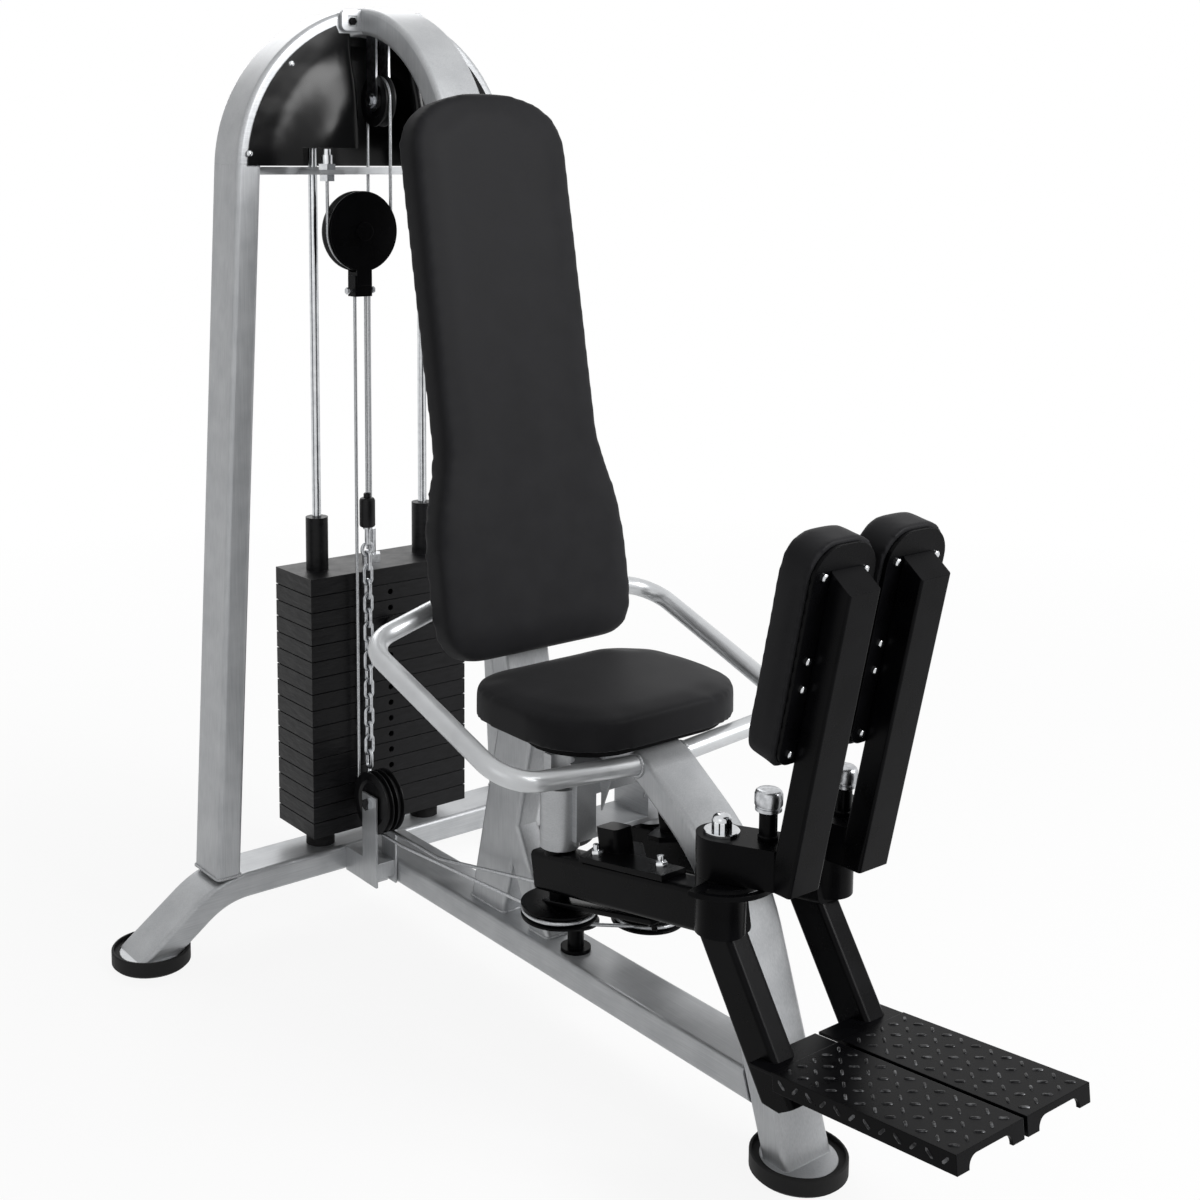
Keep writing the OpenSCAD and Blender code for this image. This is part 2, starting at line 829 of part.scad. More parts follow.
module frame_bolts() {
    color(chrome) mast() {
        shroud_screw_places() rotate_extrude() polygon([[0, 0], [5.5, 0], [4.5, 2], [2, 3], [0, 3.2]]);
        both_sides() translate([flange_bolt_x, -mast_half - flange_t + 2.5, flange_bolt_z]) rotate([90, 0, 0])
            hex_head(7, 5);
        for (x = [-1, 1]) translate([float_x + x * bracket_half, -base_axle_y, base_pulley_z])
            rotate([0, x * 90, 0]) hex_head(11, 8);
        translate([idler_x, -idler_y, idler_top + idler_cap]) {
            hex_head(9, 7);
            cylinder(r = 5, h = 16);
        }
    }
}

// Pulleys and what carries them

top_turn = atan(-right_run_x / cable_y);
top_mid = [right_run_x / 2, -cable_y / 2, top_pulley_z];
top_cable_r = norm([right_run_x, cable_y]) / 2;

module at_top_pulley() {
    translate(top_mid) rotate([0, 0, -top_turn]) rotate([0, 90, 0]) children();
}

module top_pulley() {
    color(black) mast() at_top_pulley() grooved_wheel(top_cable_r, wheel_t, 8 + run_fit);
}

module top_yoke() {
    color(silver) mast() difference() {
        at_top_pulley() {
            for (z = [-1, 1])
                translate([0, 0, z * (wheel_t / 2 + 2.5)]) yoke_cheek();
            cylinder(r = 8, h = wheel_t + 22, center = true);
            for (z = [-1, 1]) translate([0, 0, z * (wheel_t / 2 + 7)]) hex_head(13, 6);
        }
        arch_ring(tube_t, tube_w);
        translate([-tube_w, -big - mast_half, arch_z + arch_in_r - 4]) cube([2 * tube_w, big, big]);
    }
}

module yoke_cheek() {
    rotate([0, 0, 180]) translate([0, 0, -1.9]) linear_extrude(3.8) {
        circle(19);
        translate([0, -16]) square([arch_z + arch_in_r - top_pulley_z + 6, 32]);
    }
}

module at_base_axle() {
    translate([float_x, -base_axle_y, base_pulley_z]) rotate([0, 90, 0]) children();
}

module base_pulleys() {
    color(black) mast() at_base_axle() for (z = [-1, 1])
        translate([0, 0, z * cable_gap / 2]) grooved_wheel(base_groove, small_wheel_t, 7 + run_fit);
}

bracket_half = cable_gap / 2 + small_wheel_t / 2 + gap + 4;
bracket_d = 44;
stub_w = 2 * bracket_half - 8 - 2 * gap;
stub_front = base_axle_y + bracket_d / 2 - 3;

module base_bracket() {
    color(silver) mast() {
        difference() {
            for (x = [-1, 1])
                translate([float_x + x * (bracket_half - 2) - 2, -base_axle_y - bracket_d / 2, base_top - tube_t + 3])
                    cube([4, bracket_d, base_pulley_z + 16 - base_top + tube_t - 3]);
            translate([0, -mast_half, base_mid]) beam_clear();
        }
        difference() {
            translate([float_x - stub_w / 2 - gap, -stub_front, base_top - tube_t])
                cube([stub_w + 2 * gap, stub_front - mast_half, tube_t]);
            translate([0, -mast_half, base_mid]) beam_clear();
            translate([0, -stub_front - 6, base_top - tube_t - 12]) rotate([35, 0, 0])
                cube([400, 60, 40], center = true);
        }
        at_base_axle() cylinder(r = 7, h = 2 * bracket_half, center = true);
        at_base_axle() cylinder(r = 12, h = cable_gap - small_wheel_t - 2 * gap, center = true);
    }
}

module beam_clear() {
    translate([-tube_w / 2, -big, -tube_t]) cube([tube_w, big, 2 * tube_t - tube_t / 2]);
}

idler_axle = 7;
idler_low = run_z - wheel_t / 2;
idler_top = run_z + wheel_t / 2 + 3;

module idler_pulley() {
    color(black) mast() translate([idler_x, -idler_y, run_z]) grooved_wheel(idler_groove, wheel_t, idler_axle + run_fit);
}

idler_cap = 4;

// Stud on the beam, with a foot, a shoulder under the wheel and a washer over it
module idler_mount() {
    color(black) mast() translate([idler_x, -idler_y, 0]) {
        translate([0, 0, base_top]) cylinder(r = 24, h = 6);
        translate([0, 0, base_top]) cylinder(r = 13, h = idler_low - base_top - gap);
        translate([0, 0, base_top]) cylinder(r = idler_axle, h = idler_top + cut - base_top);
        translate([0, 0, idler_top]) cylinder(r = 16, h = idler_cap);
    }
}

module cable_anchor() {
    color(chrome) mast() translate([left_run_x, -cable_y, anchor_z]) {
        cylinder(r = 10, h = anchor_h);
        hex_low();
        translate([0, 0, crossbar_top - crossbar_t + 8 - anchor_z]) hex_head(16, 10);
        translate([0, 0, anchor_h]) cylinder(r = 7, h = 10);
    }
}

module hex_low() {
    translate([0, 0, -6]) hex_head(14, crossbar_top - crossbar_t - anchor_z + 6);
}

// Floating pulley block

module floating_pulley() {
    color(black) mast() translate([float_x, -cable_y, float_z]) rotate([90, 0, 0])
        grooved_wheel(float_groove, wheel_t + 2, 9 + run_fit);
}

cheek_r = float_groove + rim - 5;
bridge_h = 7;

module floating_block() {
    color(black) mast() translate([float_x, -cable_y, float_z]) {
        rotate([90, 0, 0]) {
            cylinder(r = 9, h = wheel_t + 14, center = true);
            for (z = [-1, 1]) translate([0, 0, z * (wheel_t / 2 + 3.5) - 1.5]) linear_extrude(3) {
                circle(cheek_r);
                translate([-15, -cheek_r - 26]) square([30, 50]);
            }
            for (z = [-1, 1]) translate([0, 0, z * (wheel_t / 2 + 7) - 2]) cylinder(r = 16, h = 4);
        }
        difference() {
            translate([-17, -wheel_t / 2 - 2, block_z - float_z]) cube([34, wheel_t + 4, block_h - 14]);
            for (x = [-1, 1]) translate([x * cable_gap / 2, 0, block_z - float_z - cut])
                cylinder(r = cable_r + gap, h = socket_h + cut);
        }
        translate([-15, -wheel_t / 2 - 2, block_z - float_z + block_h - 14.5]) cube([30, wheel_t + 4, bridge_h]);
        for (x = [-1, 1]) translate([x * 17, 0, block_z - float_z + 10]) rotate([0, x * 90, 0]) {
            cylinder(r = 3, h = 7);
            translate([0, 0, 7]) hex_head(6, 4);
        }
    }
}

module length_sleeve() {
    color(black) mast() translate([cable_b_x, -cable_y, 0]) {
        difference() {
            translate([0, 0, sleeve_z]) rotate_extrude()
                polygon([[0, 0], [10, 0], [sleeve_r, 4], [sleeve_r, sleeve_h - 4], [11, sleeve_h], [0, sleeve_h]]);
            translate([0, 0, sleeve_z + 20]) cylinder(r = cable_r + gap, h = sleeve_h);
        }
        translate([0, 0, sleeve_z + 20 + cut]) cylinder(r = cable_r, h = block_z + socket_h - sleeve_z - 20 - 2 * cut);
        translate([0, 0, ring_z + 12]) cylinder(r = 5, h = sleeve_z - ring_z - 12);
        translate([0, 0, ring_z]) rotate([90, 0, 0]) rotate_extrude() translate([ring_r, 0]) circle(ring_wire, $fn = 24);
    }
}

// One welded chain link standing on end, bent from round wire
module chain_link() {
    straight = chain_pitch / 2 - chain_half + 2 * chain_wire + gap;
    for (s = [-1, 1]) {
        translate([s * (chain_half - chain_wire), 0, -straight])
            cylinder(r = chain_wire, h = 2 * straight, $fn = 24);
        translate([0, 0, s * straight]) rotate([90, 0, 0]) rotate([0, 0, s > 0 ? 0 : 180])
            rotate_extrude(angle = 180) translate([chain_half - chain_wire, 0]) circle(chain_wire, $fn = 24);
    }
}

chain_top = ring_z - ring_r + ring_wire;

module chain() {
    color(steel) mast() translate([cable_b_x, -cable_y, chain_top]) for (i = [0:chain_links - 1])
        translate([0, 0, -(i + 0.5) * chain_pitch]) rotate([0, 0, i % 2 == 0 ? 90 : 0])
            chain_link();
}

// Cables

module stack_cable() {
    color(steel) mast() cable([
        [0, 0, stem_top],
        [0, 0, top_pulley_z + top_cable_r],
        [right_run_x, -cable_y, top_pulley_z + top_cable_r],
        [right_run_x, -cable_y, float_z - float_groove],
        [left_run_x, -cable_y, float_z - float_groove],
        [left_run_x, -cable_y, anchor_z - 6]
    ], [0, top_cable_r, top_cable_r, float_groove, float_groove, 0]);
}

far_pivot = [pivot_half, -pivot_reach, run_z];
idler_mid = [idler_x, -idler_y, run_z];
to_far = far_pivot - idler_mid;
cross_angle = atan2(to_far[1], to_far[0]) + asin((idler_groove - sheave_groove) / norm(to_far));
cross_dir = [cos(cross_angle), sin(cross_angle), 0];
cross_side = [cross_dir[1], -cross_dir[0], 0];
from_level = [cable_a_x, -level_out, run_z];
to_idler = idler_mid - from_level;
in_angle = atan2(to_idler[1], to_idler[0]) - asin(idler_groove / norm(to_idler));
in_dir = [cos(in_angle), sin(in_angle), 0];
leave_idler = idler_mid + idler_groove * cross_side;
to_leave = leave_idler - from_level;
in_len = (to_leave[0] * cross_dir[1] - to_leave[1] * cross_dir[0])
    / (in_dir[0] * cross_dir[1] - in_dir[1] * cross_dir[0]);
reach_sheave = far_pivot + sheave_groove * cross_side;
wrap = 60;
wrap_len = sheave_groove * tan(wrap / 2);
wrap_dir = [cross_dir[0] * cos(wrap) - cross_dir[1] * sin(wrap),
            cross_dir[0] * sin(wrap) + cross_dir[1] * cos(wrap), 0];

module left_cable() {
    color(steel) mast() cable([
        [cable_a_x, -cable_y, block_z + socket_h],
        [cable_a_x, -cable_y, run_z],
        from_level,
        from_level + in_len * in_dir,
        reach_sheave + wrap_len * cross_dir,
        reach_sheave + wrap_len * cross_dir + wrap_len * wrap_dir
    ], [0, base_groove, ease_r, idler_groove, sheave_groove, 0]);
}

near_east = [-pivot_half + sheave_groove, -pivot_reach, near_sheave_z];
chain_bottom = chain_top - chain_links * chain_pitch;
level_in = 48;

module right_cable() {
    color(steel) mast() {
        cable([
            [cable_b_x, -cable_y, chain_bottom - 2 * chain_wire - cut],
            [cable_b_x, -cable_y, run_z],
            [cable_b_x, -rise_start, run_z],
            near_east + [0, level_in, 0],
            near_east
        ], [0, base_groove, ease_r, ease_r, 0]);
    }
}

// Feet

// Cup for the foot disc, its mouth just clear of the sloping end of the bow
bow_half = tube_t / 2 / sin(bow_slope) + (foot_h - leg_foot_z) / tan(bow_slope);
bow_clear = norm([bow_half - tube_corner, tube_w / 2 - tube_corner]) + tube_corner + 2 * gap;
lip_r = min(bow_clear, foot_r - 3);

module rubber_foot() {
    rotate_extrude() polygon([
        [0, 0], [foot_r - 4, 0], [foot_r, 4], [foot_r, foot_h - 2], [foot_r - 1.5, foot_h],
        [lip_r, foot_h], [lip_r, leg_foot_z], [foot_r - 14 + gap, leg_foot_z],
        [foot_r - 14 + gap, foot_seat], [0, foot_seat]
    ]);
}

module rubber_feet() {
    color(rubber) mast() {
        both_sides() translate([foot_span, 0, 0]) rubber_foot();
        translate([0, -foot_reach, 0]) rubber_foot();
    }
}

// Hand grips

grip_points = [
    [-tube_w / 2 + 12, -410.5, 693],
    [-290, -442, 636],
    [-283, -788, 518],
    [-tube_w / 2 + 12, -778.6, rail_z - 6]
];
grip_radii = [0, 55, 60, 0];
grip_swell = 0.25;

module grip_shape() {
    difference() {
        round_bar(grip_points, grip_radii, grip_r, grip_swell);
        translate([-tube_w / 2 - 2 * bend_swell, -big / 2, 0]) cube(big);
    }
}

module right_handle() {
    color(silver) mast() grip_shape();
}

module left_handle() {
    color(silver) mast() mirrored() grip_shape();
}

// Arms, drawn for the user's right side and mirrored for the left

module at_pivot() {
    translate([-pivot_half, -pivot_reach, 0]) children();
}

// Along the arm: x across, y up, z towards the hub
module along_arm() {
    translate([-pivot_half, -pivot_reach, arm_pivot_z]) rotate([90 - arm_rise, 0, 0]) children();
}

strut_len = 300;
strut_dir = [0, -sin(strut_lean), -cos(strut_lean)];
strut_mid = [-strut_x, -hub_reach - 15, 300];

module strut_bar(grow = 0) {
    frame_bar([strut_mid - strut_dir * 150, strut_mid + strut_dir * (strut_len - 120)], [0, 0],
              [1, 0, 0], strut_w + grow, strut_d + grow);
}

module arm_bar() {
    along_arm() translate([0, 0, -arm_back]) linear_extrude(arm_len + arm_back) round_rect(arm_w, arm_h, tube_corner);
}

module arm_shape(sheave_z) {
    arm_bar();
    translate([-hub_half, -hub_reach, hub_low]) cylinder(r = hub_r, h = hub_base - hub_low);
    translate([-hub_half, -hub_reach, hub_base - index_t - index_step]) index_plate();
    translate([-hub_half, -hub_reach, hub_base]) cylinder(r = hub_pin_r, h = crank_top - hub_base + 18);
    difference() {
        strut_bar();
        half_space_above(hub_low + 20);
        translate([0, 0, 150 - big]) half_space_above(0);
    }
    at_pivot() {
        translate([0, 0, arm_pivot_z]) cylinder(r = 24, h = housing_bottom - gap - arm_pivot_z);
        translate([0, 0, sheave_z - wheel_t / 2 - 8]) cylinder(r = shaft_r, h = housing_top + 12 - sheave_z + wheel_t / 2 + 8);
        translate([0, 0, sheave_z]) arm_sheave();
        translate([0, 0, housing_top + gap]) cylinder(r = collar_r, h = collar_h);
    }
}

// Plate under the crank with the curved slot that the pull pin runs in
module index_plate() {
    difference() {
        rotate([0, 0, pin_angle - 112]) rotate_extrude(angle = 124)
            translate([hub_r - 8, 0]) square([pin_arm + 14 - hub_r + 8, index_t]);
        translate([0, 0, -cut]) rotate([0, 0, pin_angle - 90]) rotate_extrude(angle = 90)
            translate([pin_arm - plunger_r - gap, 0]) square([2 * plunger_r + 2 * gap, index_t + 2 * cut]);
        for (a = [0, -90]) rotate([0, 0, pin_angle + a]) translate([pin_arm, 0, -cut])
            cylinder(r = plunger_r + 3 * gap, h = index_t + 2 * cut);
    }
}

module arm_sheave() {
    rotate_extrude() polygon(concat(
        [[shaft_r - cut, -wheel_t / 2], [sheave_groove + rim, -wheel_t / 2], [sheave_groove + rim, -wheel_t / 2 + 3]],
        arc_points([sheave_groove, 0], cable_r + gap, -90, -270, 8),
        [[sheave_groove + rim, wheel_t / 2 - 3], [sheave_groove + rim, wheel_t / 2], [shaft_r - cut, wheel_t / 2]]
    ));
}

module right_arm() {
    color(black) mast() arm_shape(near_sheave_z);
}

module left_arm() {
    color(black) mast() mirrored() arm_shape(run_z);
}

// Plate on the arm with its stop block and bolts, and the nut on the hub
stop_plate_t = 8;

module arm_fittings_shape() {
    along_arm() translate([0, arm_h / 2, 0]) rotate([-90, 0, 0]) {
        linear_extrude(stop_plate_t)
            polygon([[-arm_w / 2, -84], [arm_w / 2, -60], [72, -84], [74, -112], [arm_w / 2, -176],
                     [20, -262], [-arm_w / 2, -262]]);
        translate([30, -104, stop_plate_t]) linear_extrude(34) round_rect(34, 46, 6);
        for (y = [-98, -226]) translate([y == -98 ? -2 : 8, y, stop_plate_t]) {
            hex_head(9, 6);
            cylinder(r = 4.5, h = 14);
        }
    }
    translate([-hub_half, -hub_reach, crank_top + gap]) difference() {
        union() {
            cylinder(r = 21, h = 4);
            hex_head(13, 16);
        }
        translate([0, 0, -cut]) cylinder(r = hub_pin_r, h = 30);
    }
}

module right_arm_fittings() {
    color(black) mast() arm_fittings_shape();
}

module left_arm_fittings() {
    color(black) mast() mirrored() arm_fittings_shape();
}

// Pad carrier: crank on the hub and the leaning upright

module on_upright() {
    translate([-upright_x, -upright_front, crank_bottom]) rotate([upright_lean, 0, 0]) children();
}

upright_len = (upright_top - crank_bottom) / cos(upright_lean) + upright_d * tan(bevel);

module upright_bar() {
    on_upright() translate([0, upright_d / 2, -40]) linear_extrude(upright_len + 40)
        round_rect(upright_w, upright_d, 4);
}

module carrier_shape() {
    difference() {
        union() {
            translate([0, 0, crank_bottom]) linear_extrude(crank_top - crank_bottom) {
                translate([-hub_half, -hub_reach]) circle(hub_r);
                polygon([[-hub_half - 30, -hub_reach - 16], [-upright_x - 29.5, -hub_reach - 85],
                         [-upright_x + 28.5, -hub_reach - 85], [-upright_x + 32.5, -hub_reach - 57],
                         [-hub_half + 20, -hub_reach + 27]]);
            }
            upright_bar();
        }
        translate([0, 0, crank_bottom - big]) half_space_above(0);
        translate([-hub_half, -hub_reach, crank_bottom - cut]) cylinder(r = hub_pin_r + run_fit, h = big);
        on_upright() translate([-upright_w, upright_d, upright_len]) rotate([bevel, 0, 0])
            translate([0, -2 * upright_w, 0]) cube([2 * upright_w, 3 * upright_w, 2 * upright_w]);
        translate([-pin_x, -pin_reach, crank_bottom - cut]) cylinder(r = 7 + run_fit, h = big);
    }
}

module right_carrier() {
    color(black) mast() carrier_shape();
}

module left_carrier() {
    color(black) mast() mirrored() carrier_shape();
}

thigh_up = (thigh_low - crank_bottom) / cos(upright_lean);
thigh_corner = 46;

// Face of the upright towards the user: x across, y up the upright, z towards the user
module on_thigh_face() {
    on_upright() translate([upright_x - thigh_x, upright_d, thigh_up]) rotate([90, 0, 180]) children();
}

module thigh_outline(inset = 0) {
    w = thigh_w / 2 - inset;
    r = thigh_corner - inset / 2;
    low_r = 18;
    right_side = concat(
        arc_points([w - low_r, inset + low_r], low_r, -90, 0, 6),
        arc_points([w - r, thigh_h - inset - r], r, 0, 90)
    );
    polygon(concat(right_side, [for (i = [len(right_side) - 1:-1:0]) [-right_side[i][0], right_side[i][1]]]));
}

screw_rows = [14, 104, 142, thigh_h - 50];
screw_in = 24;

module thigh_plate_shape() {
    on_thigh_face() {
        linear_extrude(thigh_plate_t) thigh_outline(5);
        for (x = [-1, 1], y = screw_rows) translate([x * (thigh_w / 2 - screw_in), y + 6, 0]) rotate([180, 0, 0])
            cylinder(r = 4.5, h = 2.5);
    }
}

module right_thigh_plate() {
    color(black) mast() thigh_plate_shape();
}

module left_thigh_plate() {
    color(black) mast() mirrored() thigh_plate_shape();
}

module thigh_pad_shape() {
    on_thigh_face() translate([0, 0, thigh_plate_t]) linear_extrude(thigh_t) thigh_outline();
}

module right_thigh_pad() {
    color(charcoal) mast() thigh_pad_shape();
}

module left_thigh_pad() {
    color(charcoal) mast() mirrored() thigh_pad_shape();
}

module pull_pin_shape() {
    translate([-pin_x, -pin_reach, 0]) {
        translate([0, 0, crank_bottom + cut]) cylinder(r = 7, h = crank_top + 38 - crank_bottom - cut);
        translate([0, 0, crank_bottom - index_t + cut]) cylinder(r = plunger_r, h = 20);
        translate([0, 0, crank_top + gap]) cylinder(r = 12, h = 38);
        translate([0, 0, crank_top + 38]) rotate_extrude()
            polygon([[0, 0], [15, 0], [18.5, 4], [18.5, 26], [15, 30], [0, 30]]);
    }
}

module right_pull_pin() {
    color(chrome) mast() pull_pin_shape();
}

module left_pull_pin() {
    color(chrome) mast() mirrored() pull_pin_shape();
}

// Foot plates

module on_plate() {
    translate([-plate_x, -plate_rear, plate_rear_z]) rotate([-toe_rise, 0, 0]) children();
}

module footplate_shape() {
    difference() {
        union() {
            on_plate() translate([-plate_w / 2, -plate_l, -sheet_t]) cube([plate_w, plate_l + 40, sheet_t]);
            on_plate() for (x = [-1, 1])
                translate([x * (plate_w / 2 - sheet_t / 2) - sheet_t / 2, -plate_l, -flange_h])
                    cube([sheet_t, plate_l, flange_h - sheet_t + cut]);
            on_plate() translate([0, -plate_l + sheet_t, 0]) rotate([90, 0, 0]) linear_extrude(sheet_t)
                toe_flange();
        }
        strut_bar();
        on_plate() translate([-plate_w, 0, -cut]) behind_strut();
    }
}

toe_stub = 22;
toe_lip = 4;

// Flange at the toes, open in the middle with round corners
module toe_flange() {
    difference() {
        translate([-plate_w / 2, -flange_h]) square([plate_w, flange_h - sheet_t + cut]);
        translate([0, -flange_h]) round_rect(plate_w - 2 * toe_stub, 2 * (flange_h - sheet_t - toe_lip), 14);
    }
}

// Cuts away what lies behind the strut's front face
module behind_strut() {
    cube([2 * plate_w, 200, 200]);
}

module right_footplate() {
    color(black) mast() footplate_shape();
}

module left_footplate() {
    color(black) mast() mirrored() footplate_shape();
}

// Bolts through the boards under the cushions

bolt_x = 75;
bolt_h = 4;
back_bolt = 120;

module pad_bolts() {
    color(chrome) mast() {
        for (x = [-1, 1], y = [seat_rear + 38, seat_rear + seat_len - 70])
            translate([x * bolt_x, -y, rail_top - bolt_h]) cylinder(r = 7, h = bolt_h);
        for (x = [-1, 1], u = [back_bolt, back_len - 2 * back_bolt])
            on_spine(back_low + u) translate([x * bolt_x, 0, -bolt_h]) cylinder(r = 7, h = bolt_h);
    }
}

left_post();
right_post();
arch_top();
rear_bow();
spine_tube();
spine_flange();
main_beam();
front_leg();
seat_post();
hip_housings();
rod_crossbar();
guide_rods();
stack_bumpers();
front_shroud();
rear_shroud();
frame_bolts();
top_yoke();
base_bracket();
idler_mount();
cable_anchor();
rubber_feet();
right_handle();
left_handle();
back_board();
back_pad();
seat_board();
seat_pad();
pad_bolts();
top_pulley();
base_pulleys();
idler_pulley();
floating_block();
floating_pulley();
length_sleeve();
chain();
stack_cable();
right_cable();
left_cable();
resting_plates();
lifted_plates();
head_plate();
selector_stem();
selector_pin();
right_arm();
left_arm();
right_arm_fittings();
left_arm_fittings();
right_carrier();
left_carrier();
right_thigh_plate();
left_thigh_plate();
right_thigh_pad();
left_thigh_pad();
right_pull_pin();
left_pull_pin();
right_footplate();
left_footplate();
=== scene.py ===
import json
import math

import bmesh
import bpy
from mathutils import Matrix, Vector


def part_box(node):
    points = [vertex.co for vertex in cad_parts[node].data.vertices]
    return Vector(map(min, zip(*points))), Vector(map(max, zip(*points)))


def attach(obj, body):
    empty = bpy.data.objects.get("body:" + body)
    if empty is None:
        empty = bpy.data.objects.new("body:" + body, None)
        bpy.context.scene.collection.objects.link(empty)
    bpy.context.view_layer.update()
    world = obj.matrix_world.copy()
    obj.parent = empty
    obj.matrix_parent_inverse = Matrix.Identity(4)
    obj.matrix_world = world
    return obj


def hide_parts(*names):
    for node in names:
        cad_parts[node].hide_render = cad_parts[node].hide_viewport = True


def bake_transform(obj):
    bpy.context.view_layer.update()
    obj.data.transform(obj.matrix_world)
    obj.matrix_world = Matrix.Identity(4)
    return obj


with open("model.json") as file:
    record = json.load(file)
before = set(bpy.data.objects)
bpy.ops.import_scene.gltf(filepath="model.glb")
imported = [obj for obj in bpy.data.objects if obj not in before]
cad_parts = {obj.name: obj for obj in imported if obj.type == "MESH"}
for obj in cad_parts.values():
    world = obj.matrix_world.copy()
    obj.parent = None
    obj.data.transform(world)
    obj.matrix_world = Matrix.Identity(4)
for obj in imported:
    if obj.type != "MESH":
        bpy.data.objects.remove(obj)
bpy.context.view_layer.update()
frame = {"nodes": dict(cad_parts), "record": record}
nodes = frame["nodes"]
bodyOf = {node: body for body, names in frame["record"]["behaviour"]["bodies"].items() for node in names}
scene = bpy.context.scene
scene.view_settings.view_transform = "Standard"
mm = 0.001


def middle(node):  # centre of a CAD node's box
    low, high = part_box(node)
    return (low + high) / 2


mastY = middle("right_post").y


def atMast(x, y, z):  # millimetres from the mast's foot to metres in the frame
    return Vector((x * mm, y * mm + mastY, z * mm))


# Camera at the photograph's viewing angle, for a square picture
cameraSettings = {
    "place": (-1590, -2496, 1350), "tilt": 82.90, "turn": -36.12,
    "lens": 49.41, "shiftX": 0.1058, "shiftY": -0.1875,
}


def makeCamera(settings):
    data = bpy.data.cameras.new("photoCamera")
    data.sensor_width = 36
    data.lens = settings["lens"]
    data.shift_x = settings["shiftX"]
    data.shift_y = settings["shiftY"]
    camera = bpy.data.objects.new("photoCamera", data)
    camera.location = atMast(*settings["place"])
    camera.rotation_euler = (math.radians(settings["tilt"]), 0, math.radians(settings["turn"]))
    scene.collection.objects.link(camera)
    scene.camera = camera


makeCamera(cameraSettings)
print("camera set")


# Material tools
def linear(hexCode):  # sRGB hex to the linear values that sockets take
    values = [int(hexCode[i:i + 2], 16) / 255 for i in (0, 2, 4)]
    return [v / 12.92 if v <= 0.04045 else ((v + 0.055) / 1.055) ** 2.4 for v in values] + [1]


def perMm(size):  # texture scale that repeats every so many millimetres
    return 1 / (size * mm)


def addNode(tree, kind, inputs, **settings):
    node = tree.nodes.new("ShaderNode" + kind)
    for name, value in settings.items():
        setattr(node, name, value)
    for key, value in inputs.items():
        if isinstance(value, bpy.types.NodeSocket):
            tree.links.new(value, node.inputs[key])
        else:
            node.inputs[key].default_value = value
    return node


def startMaterial(name, **sockets):
    material = bpy.data.materials.new(name)
    material.use_nodes = True
    tree = material.node_tree
    shader = tree.nodes["Principled BSDF"]
    for key, value in sockets.items():
        shader.inputs[key].default_value = value
    place = addNode(tree, "TexCoord", {}).outputs["Object"]
    return material, tree, shader, place


def tint(tree, shader, factor, dark, light, low=0.3, high=0.7):  # colour that wanders between two shades
    ramp = addNode(tree, "ValToRGB", {"Fac": factor})
    ramp.color_ramp.elements[0].position = low
    ramp.color_ramp.elements[1].position = high
    ramp.color_ramp.elements[0].color = linear(dark)
    ramp.color_ramp.elements[1].color = linear(light)
    tree.links.new(ramp.outputs["Color"], shader.inputs["Base Color"])


def gloss(tree, shader, factor, smooth, rough):  # roughness that wanders between two values
    span = addNode(tree, "MapRange", {"Value": factor, "To Min": smooth, "To Max": rough})
    tree.links.new(span.outputs["Result"], shader.inputs["Roughness"])


def relief(tree, shader, height, strength, depth, edge=0):  # depth, and radius of worn edges, in millimetres
    bump = addNode(tree, "Bump", {"Height": height, "Strength": strength, "Distance": depth * mm})
    if edge:
        worn = addNode(tree, "Bevel", {"Radius": edge * mm}, samples=4)
        tree.links.new(worn.outputs["Normal"], bump.inputs["Normal"])
    tree.links.new(bump.outputs["Normal"], shader.inputs["Normal"])


def groundSteel(name, along):
    # Mild steel tube, belt ground along its length and lacquered: pale grey, soft patches, faint streaks
    material, tree, shader, place = startMaterial(name, Metallic=0.4, IOR=1.5)
    grit, streak, patch = 1.6, 60, 45  # the real scratches are under 0.2 mm wide, so these are drawn coarser
    scale = [perMm(streak) if axis == along else perMm(grit) for axis in "XYZ"]
    stretched = addNode(tree, "Mapping", {"Vector": place, "Scale": scale})
    scratches = addNode(tree, "TexNoise", {"Vector": stretched.outputs["Vector"], "Scale": 1, "Detail": 3})
    patches = addNode(tree, "TexNoise", {"Vector": place, "Scale": perMm(patch), "Detail": 4})
    mixed = addNode(tree, "Math", {0: scratches.outputs["Fac"], 1: patches.outputs["Fac"]}, operation="ADD")
    half = addNode(tree, "Math", {0: mixed.outputs["Value"], 1: 0.5}, operation="MULTIPLY")
    tint(tree, shader, half.outputs["Value"], "a9abae", "bec0c2", 0.35, 0.65)
    gloss(tree, shader, half.outputs["Value"], 0.32, 0.46)
    relief(tree, shader, scratches.outputs["Fac"], 0.12, 0.1, edge=1.5)
    return material


def satinSilver():
    # Drawn steel tube under a clear satin lacquer: an even bright grey with one soft highlight along it
    material, tree, shader, place = startMaterial("satinSilver", Metallic=0.5, IOR=1.5)
    cloud = addNode(tree, "TexNoise", {"Vector": place, "Scale": perMm(40), "Detail": 3})
    tint(tree, shader, cloud.outputs["Fac"], "c2c4c6", "cdcfd1")
    gloss(tree, shader, cloud.outputs["Fac"], 0.26, 0.34)
    return material


def blackPowderCoat():
    # Satin black polyester powder coat, baked: near black, with a fine orange peel in the highlights
    material, tree, shader, place = startMaterial("blackPowderCoat", IOR=1.14)
    peel = addNode(tree, "TexNoise", {"Vector": place, "Scale": perMm(2.6), "Detail": 2})
    dust = addNode(tree, "TexNoise", {"Vector": place, "Scale": perMm(45), "Detail": 5})
    tint(tree, shader, dust.outputs["Fac"], "050506", "0b0b0d")
    gloss(tree, shader, dust.outputs["Fac"], 0.22, 0.34)
    relief(tree, shader, peel.outputs["Fac"], 0.35, 0.12, edge=1.6)
    return material


